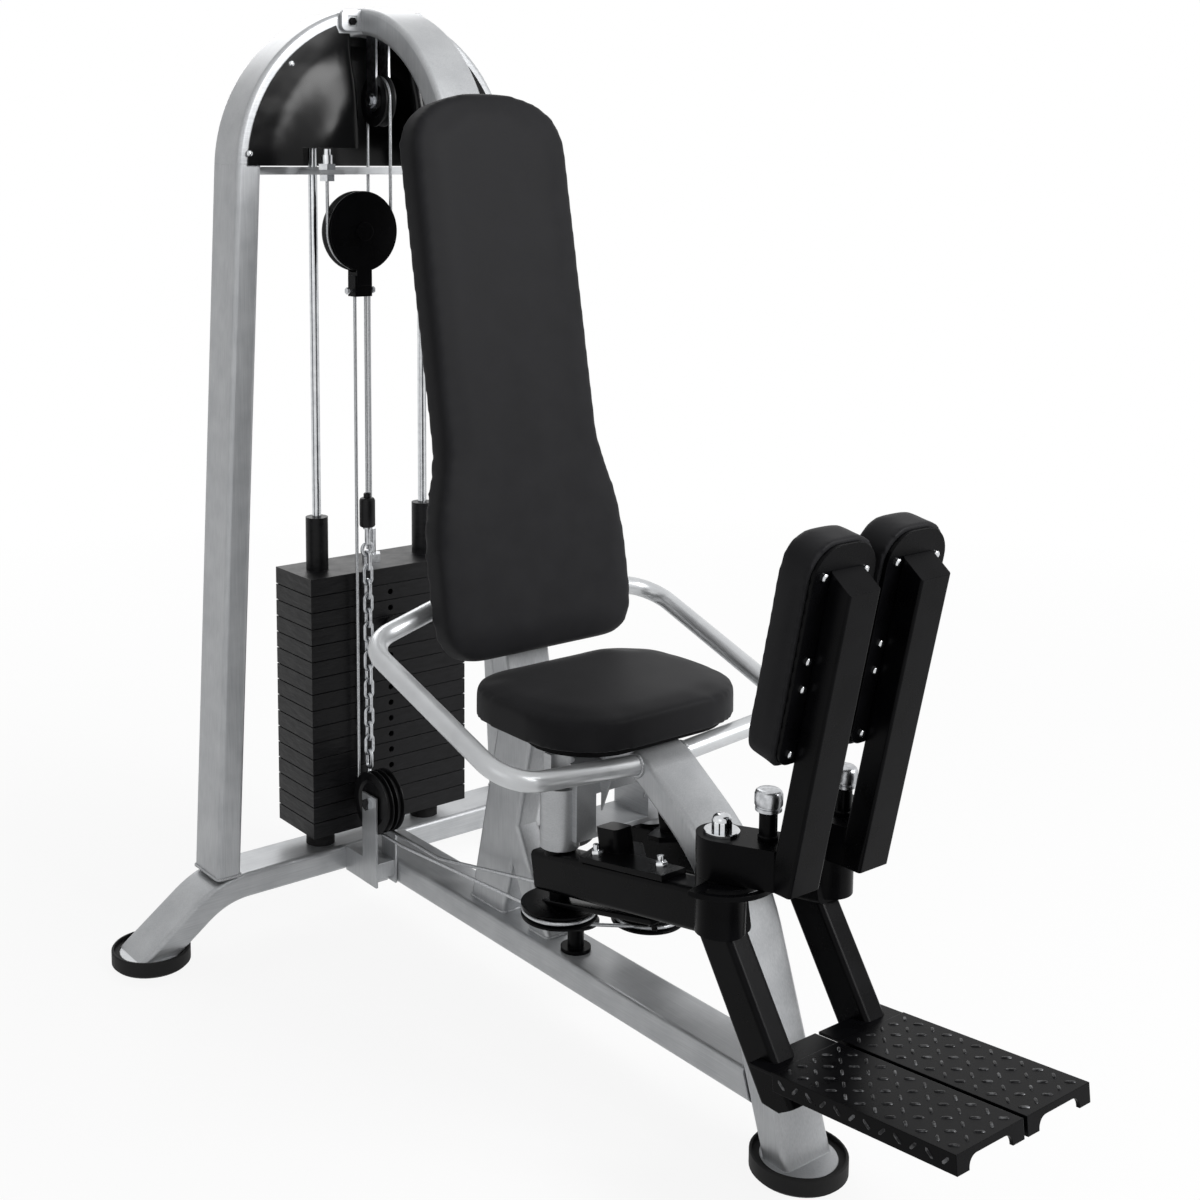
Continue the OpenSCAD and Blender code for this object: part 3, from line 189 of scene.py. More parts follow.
def rubbedTread():
    # Powder coat worn through to the steel on the crests of the tread: dark bars that glint
    material, tree, shader, place = startMaterial("rubbedTread", Metallic=0.6, IOR=1.4)
    rubbed = addNode(tree, "TexNoise", {"Vector": place, "Scale": perMm(9), "Detail": 3})
    tint(tree, shader, rubbed.outputs["Fac"], "121214", "6a6b6d", 0.48, 0.75)
    gloss(tree, shader, rubbed.outputs["Fac"], 0.25, 0.45)
    return material


def rolledPlate():
    # Hot rolled weight plate, dipped in black paint: dark, with long shallow waves from the mill
    material, tree, shader, place = startMaterial("rolledPlate", IOR=1.28)
    waves = addNode(tree, "Mapping", {"Vector": place, "Scale": [perMm(34), perMm(34), perMm(9)]})
    mill = addNode(tree, "TexNoise", {"Vector": waves.outputs["Vector"], "Scale": 1, "Detail": 3})
    tint(tree, shader, mill.outputs["Fac"], "08080a", "151517")
    gloss(tree, shader, mill.outputs["Fac"], 0.30, 0.55)
    relief(tree, shader, mill.outputs["Fac"], 0.8, 1.6, edge=1.2)
    return material


def grainedVinyl():
    # Calendered vinyl with a fine leather grain, pulled over foam: charcoal with a dull sheen
    material, tree, shader, place = startMaterial("grainedVinyl", IOR=1.17)
    shader.inputs["Sheen Weight"].default_value = 0.05
    shader.inputs["Sheen Roughness"].default_value = 0.5
    cells = addNode(tree, "TexVoronoi", {"Vector": place, "Scale": perMm(2.2)}, feature="DISTANCE_TO_EDGE")
    wear = addNode(tree, "TexNoise", {"Vector": place, "Scale": perMm(60), "Detail": 3})
    tint(tree, shader, wear.outputs["Fac"], "19191b", "1f1f21")
    gloss(tree, shader, wear.outputs["Fac"], 0.46, 0.60)
    relief(tree, shader, cells.outputs["Distance"], 0.35, 0.25)
    return material


def glossCover():
    # Thermoformed ABS sheet with a gloss face: black, mirror like, with slow waves from the forming
    material, tree, shader, place = startMaterial("glossCover", IOR=1.28)
    slow = addNode(tree, "TexNoise", {"Vector": place, "Scale": perMm(55), "Detail": 1})
    tint(tree, shader, slow.outputs["Fac"], "050506", "0b0b0c")
    gloss(tree, shader, slow.outputs["Fac"], 0.16, 0.28)
    relief(tree, shader, slow.outputs["Fac"], 0.5, 2.5)
    return material


def chromePlate():
    # Bright nickel and chrome plate on turned steel: white mirror with faint handling marks
    material, tree, shader, place = startMaterial("chromePlate", Metallic=1)
    marks = addNode(tree, "TexNoise", {"Vector": place, "Scale": perMm(12), "Detail": 4})
    tint(tree, shader, marks.outputs["Fac"], "c2c4c7", "d8dadc")
    gloss(tree, shader, marks.outputs["Fac"], 0.08, 0.22)
    return material


def zincSteel():
    # Steel with a bright zinc coat, as chain and fittings have: light grey, a little cloudy
    material, tree, shader, place = startMaterial("zincSteel", Metallic=1)
    cloud = addNode(tree, "TexNoise", {"Vector": place, "Scale": perMm(7), "Detail": 3})
    tint(tree, shader, cloud.outputs["Fac"], "a7a9ac", "cfd1d4")
    gloss(tree, shader, cloud.outputs["Fac"], 0.22, 0.42)
    return material


def wireRope():
    # Galvanised wire rope: light grey strands with dark oil between them
    material, tree, shader, place = startMaterial("wireRope", Metallic=0.85)
    wires = addNode(tree, "TexNoise", {"Vector": place, "Scale": perMm(1.5), "Detail": 2})
    tint(tree, shader, wires.outputs["Fac"], "8f9194", "c9cbcd")
    gloss(tree, shader, wires.outputs["Fac"], 0.28, 0.46)
    return material


def mouldedRubber():
    # Compression moulded rubber: flat black, slightly dusty
    material, tree, shader, place = startMaterial("mouldedRubber", IOR=1.3)
    dust = addNode(tree, "TexNoise", {"Vector": place, "Scale": perMm(20), "Detail": 6})
    pores = addNode(tree, "TexNoise", {"Vector": place, "Scale": perMm(1.4), "Detail": 2})
    tint(tree, shader, dust.outputs["Fac"], "0d0d0d", "1c1c1d")
    gloss(tree, shader, dust.outputs["Fac"], 0.55, 0.80)
    relief(tree, shader, pores.outputs["Fac"], 0.4, 0.2)
    return material


def glassFilledNylon():
    # Injection moulded nylon with glass fibre: black, semi matt, faint flow marks
    material, tree, shader, place = startMaterial("glassFilledNylon", IOR=1.3)
    flow = addNode(tree, "TexNoise", {"Vector": place, "Scale": perMm(15), "Detail": 5})
    tint(tree, shader, flow.outputs["Fac"], "0b0b0c", "161618")
    gloss(tree, shader, flow.outputs["Fac"], 0.30, 0.50)
    relief(tree, shader, flow.outputs["Fac"], 0.15, 0.3)
    return material


def blackCambric():
    # Non woven dust cloth stapled over the plywood: dull black with a crossed thread
    material, tree, shader, place = startMaterial("blackCambric", IOR=1.2)
    threads = addNode(tree, "TexChecker", {"Vector": place, "Scale": perMm(1.6)})
    tint(tree, shader, threads.outputs["Fac"], "0f0f10", "1b1b1c", 0, 1)
    shader.inputs["Roughness"].default_value = 0.85
    relief(tree, shader, threads.outputs["Fac"], 0.4, 0.3)
    return material


steelX = groundSteel("groundSteelAcross", "X")
steelY = groundSteel("groundSteelAlong", "Y")
steelZ = groundSteel("groundSteelUpright", "Z")
satin = satinSilver()
black = blackPowderCoat()
tread = rubbedTread()
plate = rolledPlate()
vinyl = grainedVinyl()
cover = glossCover()
chrome = chromePlate()
zinc = zincSteel()
rope = wireRope()
rubber = mouldedRubber()
nylon = glassFilledNylon()
cambric = blackCambric()

finishes = [
    (steelX, ["rear_bow", "rod_crossbar", "arch_top", "spine_flange"]),
    (steelY, ["main_beam", "hip_housings"]),
    (satin, ["right_handle", "left_handle"]),
    (steelZ, ["left_post", "right_post", "spine_tube", "front_leg", "seat_post", "base_bracket"]),
    (chrome, ["guide_rods", "frame_bolts", "cable_anchor", "pad_bolts", "right_pull_pin", "left_pull_pin"]),
    (zinc, ["chain", "selector_stem", "top_yoke"]),
    (rope, ["stack_cable", "right_cable", "left_cable"]),
    (plate, ["resting_plates", "lifted_plates", "head_plate"]),
    (cover, ["front_shroud", "rear_shroud"]),
    (nylon, ["top_pulley", "base_pulleys", "idler_pulley", "floating_pulley", "length_sleeve"]),
    (rubber, ["rubber_feet", "stack_bumpers", "selector_pin"]),
    (cambric, ["back_board", "seat_board"]),
    (vinyl, ["back_pad", "seat_pad", "right_thigh_pad", "left_thigh_pad"]),
    (black, ["idler_mount", "floating_block"] + [side + part for side in ("right_", "left_") for part in (
        "arm", "arm_fittings", "carrier", "thigh_plate", "footplate")]),
]
for material, names in finishes:
    for name in names:
        nodes[name].data.materials.clear()
        nodes[name].data.materials.append(material)
flangeBolts = nodes["frame_bolts"].data
flangeBolts.materials.append(black)
flangeLow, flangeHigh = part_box("spine_flange")
for face in flangeBolts.polygons:  # the two bolts in the flange are blacked
    if face.center.z > flangeLow.z - 0.01 and abs(face.center.x) < flangeHigh.x:
        face.material_index = 1
blockBolts = nodes["floating_block"].data
blockBolts.materials.append(zinc)
blockX, blockTop, blockHalf = middle("floating_block").x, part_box("floating_pulley")[0].z, 17.2 * mm
for face in blockBolts.polygons:  # the clamp bolts of the block are plated
    if abs(face.center.x - blockX) > blockHalf and face.center.z < blockTop:
        face.material_index = 1
print("finishes on", sum(len(names) for material, names in finishes), "of", len(nodes), "nodes")


# Mesh tools
def newPiece(name, mesh, material):
    piece = bpy.data.objects.new(name, mesh)
    scene.collection.objects.link(piece)
    mesh.materials.clear()
    mesh.materials.append(material)
    return piece


def shadeByAngle(mesh, degrees=35):
    mesh.shade_smooth()
    mesh.set_sharp_from_angle(angle=math.radians(degrees))


def keepShape(piece):  # what the modifiers give becomes the piece's own mesh
    graph = bpy.context.evaluated_depsgraph_get()
    mesh = bpy.data.meshes.new_from_object(piece.evaluated_get(graph))
    piece.modifiers.clear()
    piece.data = mesh


def weldedCopy(node):  # a copy of a CAD mesh with its split points joined again
    mesh = nodes[node].data.copy()
    work = bmesh.new()
    work.from_mesh(mesh)
    bmesh.ops.remove_doubles(work, verts=work.verts, dist=1e-5)
    work.to_mesh(mesh)
    work.free()
    return mesh


def bentPath(points, radii, step):  # straight runs joined by round bends, with a point about every step
    points = [Vector(p) for p in points]
    path = [points[0]]

    def runTo(target):
        start = path[-1]
        count = max(1, round((target - start).length / step))
        path.extend(start.lerp(target, (i + 1) / count) for i in range(count))

    for before, corner, after, radius in zip(points, points[1:], points[2:], radii):
        into, out = (corner - before).normalized(), (after - corner).normalized()
        turn = into.angle(out)
        runTo(corner - into * radius * math.tan(turn / 2))
        axis = into.cross(out).normalized()
        centre = path[-1] + axis.cross(into) * radius
        arm = path[-1] - centre
        count = max(4, round(radius * turn / step))
        path.extend(centre + Matrix.Rotation(turn * (i + 1) / count, 3, axis) @ arm for i in range(count))
    runTo(points[-1])
    return path


def tubeMesh(name, path, radiusAt, sides):  # radiusAt(length along the path, angle round it)
    mesh = bpy.data.meshes.new(name)
    work = bmesh.new()
    last = len(path) - 1
    tangents = [(path[min(i + 1, last)] - path[max(i - 1, 0)]).normalized() for i in range(last + 1)]
    normal = tangents[0].orthogonal().normalized()
    rings = []
    length = 0
    for i, (point, tangent) in enumerate(zip(path, tangents)):
        if i:
            length += (point - path[i - 1]).length
            normal = tangents[i - 1].rotation_difference(tangent) @ normal
        side = tangent.cross(normal)
        ring = []
        for k in range(sides):
            angle = math.tau * k / sides
            reach = radiusAt(length, angle)
            ring.append(work.verts.new(point + (normal * math.cos(angle) + side * math.sin(angle)) * reach))
        rings.append(ring)
    for lower, upper in zip(rings, rings[1:]):
        for k in range(sides):
            work.faces.new((lower[k], lower[(k + 1) % sides], upper[(k + 1) % sides], upper[k]))
    work.faces.new(list(reversed(rings[0])))
    work.faces.new(rings[-1])
    work.to_mesh(mesh)
    work.free()
    shadeByAngle(mesh)
    return mesh


def lathe(work, profile, frameOf, sides):  # profile of (radius, height), or with a rib height as third
    rings = []
    for radius, height, *rib in profile:
        ring = []
        for k in range(sides):
            reach = (radius + (rib[0] if rib and k % 2 else 0)) * mm
            angle = math.tau * k / sides
            point = Vector((reach * math.cos(angle), reach * math.sin(angle), height * mm))
            ring.append(work.verts.new(frameOf @ point))
        rings.append(ring)
    for lower, upper in zip(rings, rings[1:]):
        for k in range(sides):
            work.faces.new((lower[k], lower[(k + 1) % sides], upper[(k + 1) % sides], upper[k]))
    work.faces.new(list(reversed(rings[0])))
    work.faces.new(rings[-1])


def axisFrame(place, direction):  # a frame whose z points along direction
    return Matrix.Translation(place) @ Vector(direction).to_track_quat("Z", "Y").to_matrix().to_4x4()


def turnedPiece(name, material, body, parts):  # parts of (profile, place, direction, sides)
    mesh = bpy.data.meshes.new(name)
    work = bmesh.new()
    for profile, place, direction, sides in parts:
        lathe(work, profile, axisFrame(place, direction), sides)
    work.to_mesh(mesh)
    work.free()
    shadeByAngle(mesh, 38)
    piece = newPiece(name, mesh, material)
    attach(piece, body)
    return piece


# Cushions: vinyl over foam, from the plain pad, with soft rims and a blown up face
cushionSettings = {
    "backCushion": {"node": "back_pad", "faces": (0, -1, 0.2), "voxel": 6, "rim": 30, "puff": 7},
    "seatCushion": {"node": "seat_pad", "faces": (0, 0, 1), "voxel": 5, "rim": 30, "puff": 7},
    "rightThighCushion": {"node": "right_thigh_pad", "faces": (0, 1, 0), "voxel": 4, "rim": 34, "puff": 5},
    "leftThighCushion": {"node": "left_thigh_pad", "faces": (0, 1, 0), "voxel": 4, "rim": 34, "puff": 5},
}
clothSettings = {"pressure": 4, "steps": 20, "evenings": 24, "heldTo": 5, "freeOver": 12}


def setGroup(piece, name, weights):
    group = piece.vertex_groups.new(name=name)
    for i, weight in enumerate(weights):
        group.add([i], weight, "REPLACE")


def puffUp(piece, held, cap):  # short pressure run of the cloth solver, no point moves more than the cap
    before = [(v.co.copy(), v.normal.copy()) for v in piece.data.vertices]
    setGroup(piece, "held", held)
    cloth = piece.modifiers.new("cloth", "CLOTH")
    cloth.settings.use_pressure = True
    cloth.settings.uniform_pressure_force = clothSettings["pressure"]
    cloth.settings.effector_weights.gravity = 0
    cloth.settings.vertex_group_mass = "held"
    for step in range(1, clothSettings["steps"] + 1):
        scene.frame_set(step)
    graph = bpy.context.evaluated_depsgraph_get()
    after = [v.co.copy() for v in piece.evaluated_get(graph).data.vertices]
    piece.modifiers.clear()
    swell = [min(cap, max(0, (new - old).dot(normal))) for (old, normal), new in zip(before, after)]
    edges = [tuple(edge.vertices) for edge in piece.data.edges]
    for turn in range(clothSettings["evenings"]):  # taut vinyl keeps no creases
        total, count = [0] * len(swell), [0] * len(swell)
        for a, b in edges:
            total[a] += swell[b]
            total[b] += swell[a]
            count[a] += 1
            count[b] += 1
        swell = [(own + around / many) / 2 for own, around, many in zip(swell, total, count)]
    for vertex, (old, normal), rise, hold in zip(piece.data.vertices, before, swell, held):
        vertex.co = old + normal * rise * (1 - hold)
    scene.frame_set(1)


def makeCushion(name, settings):
    piece = newPiece(name, weldedCopy(settings["node"]), vinyl)
    remesh = piece.modifiers.new("remesh", "REMESH")
    remesh.mode = "VOXEL"
    remesh.voxel_size = settings["voxel"] * mm
    keepShape(piece)
    facing = Vector(settings["faces"])
    front = Vector()
    for face in nodes[settings["node"]].data.polygons:  # true direction of the cushion's face
        if face.normal.dot(facing) > 0.8:
            front += face.normal * face.area
    front.normalize()
    levels = [v.co.dot(front) for v in piece.data.vertices]
    back = min(levels)
    held, fade = clothSettings["heldTo"] * mm, clothSettings["freeOver"] * mm
    free = [min(1, max(0, (level - back - held) / fade)) for level in levels]
    setGroup(piece, "free", free)
    soften = piece.modifiers.new("soften", "SMOOTH")
    soften.factor = 0.5
    soften.iterations = settings["rim"]
    soften.vertex_group = "free"
    keepShape(piece)
    piece.vertex_groups.clear()
    puffUp(piece, [1 - f for f in free], settings["puff"] * mm)
    piece.vertex_groups.clear()
    piece.modifiers.new("round", "SUBSURF").levels = 1
    keepShape(piece)
    piece.data.shade_smooth()
    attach(piece, bodyOf[settings["node"]])
    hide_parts(settings["node"])


for name, settings in cushionSettings.items():
    makeCushion(name, settings)
    print("cushion", name)


# Wire ropes: six strands laid round a core, cut where a run hands over from one body to the next
ropeSettings = {
    "radius": 3, "strands": 6, "lay": 36, "depth": 0.12, "sides": 24, "step": 3,
    "topProud": 5, "wrapSteps": 60,
}


def ropeMesh(name, path):
    strands, depth = ropeSettings["strands"], ropeSettings["depth"]
    radius, turnPerMetre = ropeSettings["radius"] * mm, math.tau / (ropeSettings["lay"] * mm)

    def strandRadius(length, angle):
        twist = strands * angle + turnPerMetre * length * strands
        return radius * (1 - depth / 2 + depth / 2 * math.cos(twist))

    return tubeMesh(name, path, strandRadius, ropeSettings["sides"])


def ropePiece(name, points, radii):
    mesh = ropeMesh(name, bentPath(points, radii, ropeSettings["step"] * mm))
    piece = newPiece(name, mesh, rope)
    return piece


def halfTurn(name, centre, axis, start, degrees):  # rope wrapped on a wheel, from the point start
    arm = Vector(start) - centre
    count = ropeSettings["wrapSteps"]
    turns = [Matrix.Rotation(math.radians(degrees) * i / count, 3, axis) for i in range(count + 1)]
    path = [centre + turn @ arm for turn in turns]
    piece = newPiece(name, ropeMesh(name, path), rope)
    return piece


def makeStackRope():
    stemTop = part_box("selector_stem")[1].z
    topMid, floatMid = middle("top_pulley"), middle("floating_pulley")
    floatLow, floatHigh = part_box("floating_pulley")
    floatReach = (floatHigh.x - floatLow.x) / 2 - ropeSettings["topProud"] * mm
    rise = Vector((0, mastY, topMid.z))
    fall = Vector((floatMid.x + floatReach, floatMid.y, topMid.z))
    tail = Vector((floatMid.x - floatReach, floatMid.y, 0))
    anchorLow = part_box("cable_anchor")[0].z
    foot = Vector((rise.x, rise.y, stemTop))
    riser = ropePiece("stackRopeRise", [foot, rise], [])
    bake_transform(riser)
    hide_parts("stack_cable")
    top = halfTurn("stackRopeTop", topMid, (fall - rise).cross(Vector((0, 0, 1))), rise, -180)
    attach(top, "frame")
    low = Vector((fall.x, fall.y, floatMid.z))
    run = ropePiece("stackRopeFall", [fall, low], [])
    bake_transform(run)
    under = halfTurn("stackRopeUnder", floatMid, Vector((0, 1, 0)), low, 180)
    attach(under, "pulley_block")
    bottom = Vector((tail.x, tail.y, floatMid.z))
    end = Vector((tail.x, tail.y, anchorLow))
    last = ropePiece("stackRopeTail", [bottom, end], [])
    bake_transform(last)


makeStackRope()
print("stack rope laid")


# Chain: a welded, smooth shaded copy of the chain's links, fixed where it stands
def makeChain():
    mesh = weldedCopy("chain")
    shadeByAngle(mesh, 50)
    piece = newPiece("chainLinks", mesh, zinc)
    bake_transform(piece)
    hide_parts("chain")


makeChain()
print("chain hung")


# The two lower ropes, the coils on the arm sheaves, and the adjusting sleeve
driveSettings = {
    "ropeAX": -80, "ropeBX": -58, "ropeY": -80, "blockZ": 1151, "chainZ": 279, "runZ": 188, "wheel": 50,
    "levelY": -220, "riseY": -300, "idler": (-6, -600), "idlerGroove": 32, "pivot": (90, -661), "groove": 50,
    "nearZ": 245, "levelIn": 48, "ease": 150, "coil": 54.5, "coilTurn": 352,
    "sleeveZ": 724, "sleeveH": 53, "sleeveR": 14, "ropeIn": 30,
    "ringZ": 684, "ringR": 11, "ringWire": 3.5, "ringSteps": 48,
}


def flat(angle):
    return Vector((math.cos(angle), math.sin(angle)))


def crossing(place, along, other, otherAlong):  # where two level lines meet
    apart = other - place
    return place + along * ((apart.x * otherAlong.y - apart.y * otherAlong.x)
                            / (along.x * otherAlong.y - along.y * otherAlong.x))


def makeLeftRope(size):
    idler, pivot = Vector(size["idler"]), Vector(size["pivot"])
    level = Vector((size["ropeAX"], size["levelY"]))
    ahead = idler - level
    inward = flat(math.atan2(ahead.y, ahead.x) - math.asin(size["idlerGroove"] / ahead.length))
    over = pivot - idler
    angle = math.atan2(over.y, over.x) + math.asin((size["idlerGroove"] - size["groove"]) / over.length)
    across = flat(angle)
    leave = idler + flat(angle - math.pi / 2) * size["idlerGroove"]
    corner = crossing(level, inward, leave, across)
    reach = pivot + flat(angle - math.pi / 2) * size["groove"]
    top = atMast(size["ropeAX"], size["ropeY"], size["blockZ"])
    points = [top, atMast(size["ropeAX"], size["ropeY"], size["runZ"])]
    points += [atMast(p.x, p.y, size["runZ"]) for p in (level, corner, reach)]
    radii = (size["wheel"], size["ease"], size["idlerGroove"])
    piece = ropePiece("leftRope", points, [r * mm for r in radii])
    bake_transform(piece)
    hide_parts("left_cable")


def makeRightRope(size):
    reach = -size["pivot"][0] + size["groove"]
    points = [atMast(size["ropeBX"], size["ropeY"], size["chainZ"]),
              atMast(size["ropeBX"], size["ropeY"], size["runZ"]),
              atMast(size["ropeBX"], size["riseY"], size["runZ"]),
              atMast(reach, size["pivot"][1] + size["levelIn"], size["nearZ"]),
              atMast(reach, size["pivot"][1], size["nearZ"])]
    piece = ropePiece("rightRope", points, [r * mm for r in (size["wheel"], size["ease"], size["ease"])])
    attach(piece, "frame")
    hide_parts("right_cable")


def makeCoils(size):
    for side, x, z in (("right", -size["pivot"][0], size["nearZ"]), ("left", size["pivot"][0], size["runZ"])):
        centre = atMast(x, size["pivot"][1], z)
        start = centre + Vector((size["coil"] * mm, 0, 0))
        coil = halfTurn(side + "Coil", centre, Vector((0, 0, 1)), start, size["coilTurn"])
        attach(coil, side + "_arm")


def makeSleeve(size):
    foot = atMast(size["ropeBX"], size["ropeY"], size["sleeveZ"])
    start = atMast(size["ropeBX"], size["ropeY"], size["sleeveZ"] + size["ropeIn"])
    run = ropePiece("sleeveRope", [start, atMast(size["ropeBX"], size["ropeY"], size["blockZ"])], [])
    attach(run, "pulley_block")
    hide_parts("length_sleeve")
    r, h = size["sleeveR"], size["sleeveH"]
    barrel = [(5, 0), (r - 4, 0), (r - 1, 1.5), (r, 4), (r, h - 5), (r - 1.5, h - 1.5), (r - 4, h), (4, h)]
    neck = [(5, h), (6.5, h), (6.5, h + 7), (5, h + 8.5), (3, h + 9)]
    turnedPiece("adjustingSleeve", nylon, "pulley_block", [
        (barrel, foot, (0, 0, 1), 32), (neck, foot, (0, 0, 1), 24)])
    low = size["ringZ"] - size["sleeveZ"] + size["ringR"]
    turnedPiece("sleeveShank", zinc, "pulley_block", [
        ([(4, low - 2), (5, low), (5, -3), (8, -3), (8, 0.5), (4, 0.5)], foot, (0, 0, 1), 24)])
    centre = atMast(size["ropeBX"], size["ropeY"], size["ringZ"])
    angles = [math.tau * i / size["ringSteps"] for i in range(size["ringSteps"] + 1)]
    loop = [centre + Vector((math.cos(a), 0, math.sin(a))) * size["ringR"] * mm for a in angles]
    wire = tubeMesh("sleeveRing", loop, lambda length, angle: size["ringWire"] * mm, 16)
    ring = newPiece("sleeveRing", wire, zinc)
    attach(ring, "pulley_block")
    turnedPiece("chainFerrule", zinc, "frame", [
        ([(3.2, -26), (5.5, -25), (6, -22), (6, -4), (4.5, -2), (3, 3)],
         atMast(size["ropeBX"], size["ropeY"], size["chainZ"]), (0, 0, 1), 24)])


makeLeftRope(driveSettings)
makeRightRope(driveSettings)
makeCoils(driveSettings)
makeSleeve(driveSettings)
print("drive ropes laid")


# Front cover of the arch: a formed sheet with a flat rim, a swelling face and a lip rolled in at the opening
coverSettings = {
    "archZ": 1345, "reach": 266, "rimIn": 230, "faceAt": 118, "skin": 48.5, "rise": 22.5, "dome": 4,
    "wall": 3.2, "opening": 58, "lip": 15, "flange": 87, "flangeZ": 1582, "notch": 168, "lowZ": 1357,
    "notchZ": 1387, "lowRows": 6, "rows": 52,
}


def coverDepth(x, z, size):  # how far the sheet stands in front of the mast's middle
    away = math.hypot(x, z - size["archZ"])
    swell = min(1, max(0, (size["rimIn"] - away) / (size["rimIn"] - size["faceAt"])))
    depth = size["skin"] + size["rise"] * swell * swell * (3 - 2 * swell)
    depth += size["dome"] * max(0, 1 - (away / size["faceAt"]) ** 2)
    into = max(0, size["opening"] + size["lip"] - x)
    return depth - size["lip"] + math.sqrt(max(0, size["lip"] ** 2 - into ** 2))


def makeCover(size):
    rolled = [size["opening"] + size["lip"] * (1 - math.sin(math.pi / 2 * k / 10)) for k in range(10, -1, -1)]
    inner = [rolled[-1] + (size["flange"] - rolled[-1]) * k / 3 for k in (1, 2, 3)]
    outer = [size["flange"] + (size["notch"] - size["flange"]) * k / 14 for k in range(1, 15)]
    first = math.asin(size["notch"] / size["reach"])
    last = math.acos((size["lowZ"] - size["archZ"]) / size["reach"])
    rim = [size["reach"] * math.sin(first + (last - first) * k / 30) for k in range(1, 31)]
    xs = rolled + inner + outer + rim
    mesh = bpy.data.meshes.new("frontCover")
    work = bmesh.new()
    for sign in (1, -1):
        columns = []
        for x in xs:
            top = size["archZ"] + math.sqrt(max(0, size["reach"] ** 2 - x * x))
            if x <= size["flange"]:
                top = min(top, size["flangeZ"])
            split = min(size["notchZ"], top)
            zs = [size["lowZ"] + (split - size["lowZ"]) * k / size["lowRows"] for k in range(size["lowRows"])]
            zs += [split + (top - split) * k / size["rows"] for k in range(size["rows"] + 1)]
            columns.append([work.verts.new(atMast(sign * x, -coverDepth(x, z, size), z)) for z in zs])
        for x, left, right in zip(xs, columns, columns[1:]):
            for k in range(0 if x >= size["notch"] else size["lowRows"], len(left) - 1):
                corners = (left[k], right[k], right[k + 1], left[k + 1])
                work.faces.new(corners if sign == 1 else tuple(reversed(corners)))
    bmesh.ops.delete(work, geom=[v for v in work.verts if not v.link_faces], context="VERTS")
    bmesh.ops.remove_doubles(work, verts=work.verts, dist=1e-6)
    work.to_mesh(mesh)
    work.free()
    piece = newPiece("frontCover", mesh, cover)
    sheet = piece.modifiers.new("sheet", "SOLIDIFY")
    sheet.thickness = size["wall"] * mm
    sheet.offset = -1
    keepShape(piece)
    shadeByAngle(piece.data, 40)
    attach(piece, "frame")
    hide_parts("front_shroud")


makeCover(coverSettings)
print("cover formed")


# Pull pins: knurled knob on a blacked body
pinSettings = {
    "knobH": 30, "bodyH": 37.7, "stem": 7, "plunger": 6, "crank": 55, "tip": 7,
    "knob": [(8, 0), (15, 0), (17.4, 1.6), (17.4, 5.6), (16, 6.6), (16, 8), (18, 9), (18, 9.4, 0.5),
             (18, 24, 0.5), (18, 24.4), (17.2, 27), (14.6, 29.2), (6, 30), (0.4, 30)],
    "body": [(7, 0), (13.5, 0), (13.5, 5), (12, 6.5), (12, 34), (10.5, 36.5), (8, 37.7)],
}


def makePin(side, size):
    node = side + "_pull_pin"
    mid, top = middle(node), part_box(node)[1].z
    seat = Vector((mid.x, mid.y, top - size["knobH"] * mm))
    foot = seat - Vector((0, 0, size["bodyH"] * mm))
    tip, shoulder, thin = -size["crank"] - size["tip"], -size["crank"] + 1, size["plunger"]
    stem = [(0.4, tip), (thin - 1.5, tip), (thin, tip + 3), (thin, shoulder), (size["stem"], shoulder),
            (size["stem"], size["bodyH"] + 0.5)]
    knob = turnedPiece(side + "PinKnob", zinc, side + "_pin", [
        (size["knob"], seat, (0, 0, 1), 64), (stem, foot, (0, 0, 1), 24)])
    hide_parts(node)
    turnedPiece(side + "PinBody", black, side + "_pin", [(size["body"], foot, (0, 0, 1), 32)])


for side in ("right", "left"):
    makePin(side, pinSettings)
print("pull pins turned")


# Plated nuts, washers and screws on the arms and pad carriers
fittingSettings = {
    "hub": (105, -1015, 487.3), "arm": (90, -661, 306), "armRise": 10.8,
    "bolts": ((-2, 98), (8, 226)), "boltUp": 38,
    "washer": [(12.5, 0), (24, 0), (24, 3.4), (23, 4.3), (13, 4.3)],
    "nut": [(13.8, 4.3), (13.8, 15.5), (13, 16.6)],
    "dome": [(12.7, 16), (12.7, 18.6), (11.4, 22), (8, 24.8), (3, 26), (0.4, 26.2)],
    "boltHead": [(9.5, 0), (9.5, 5.4), (8.6, 6.4)], "stud": [(5, 6), (5, 14), (4, 15)],
    "upright": (66.5, -1126, 432), "lean": 11.7, "plateY": 36, "plateUp": 171.6, "rows": (20, 110, 148, 260),
    "screwX": 37, "screw": [(5.4, 0), (5.4, 2.2), (4.4, 3.4), (2, 4), (0.4, 4.1)],
}


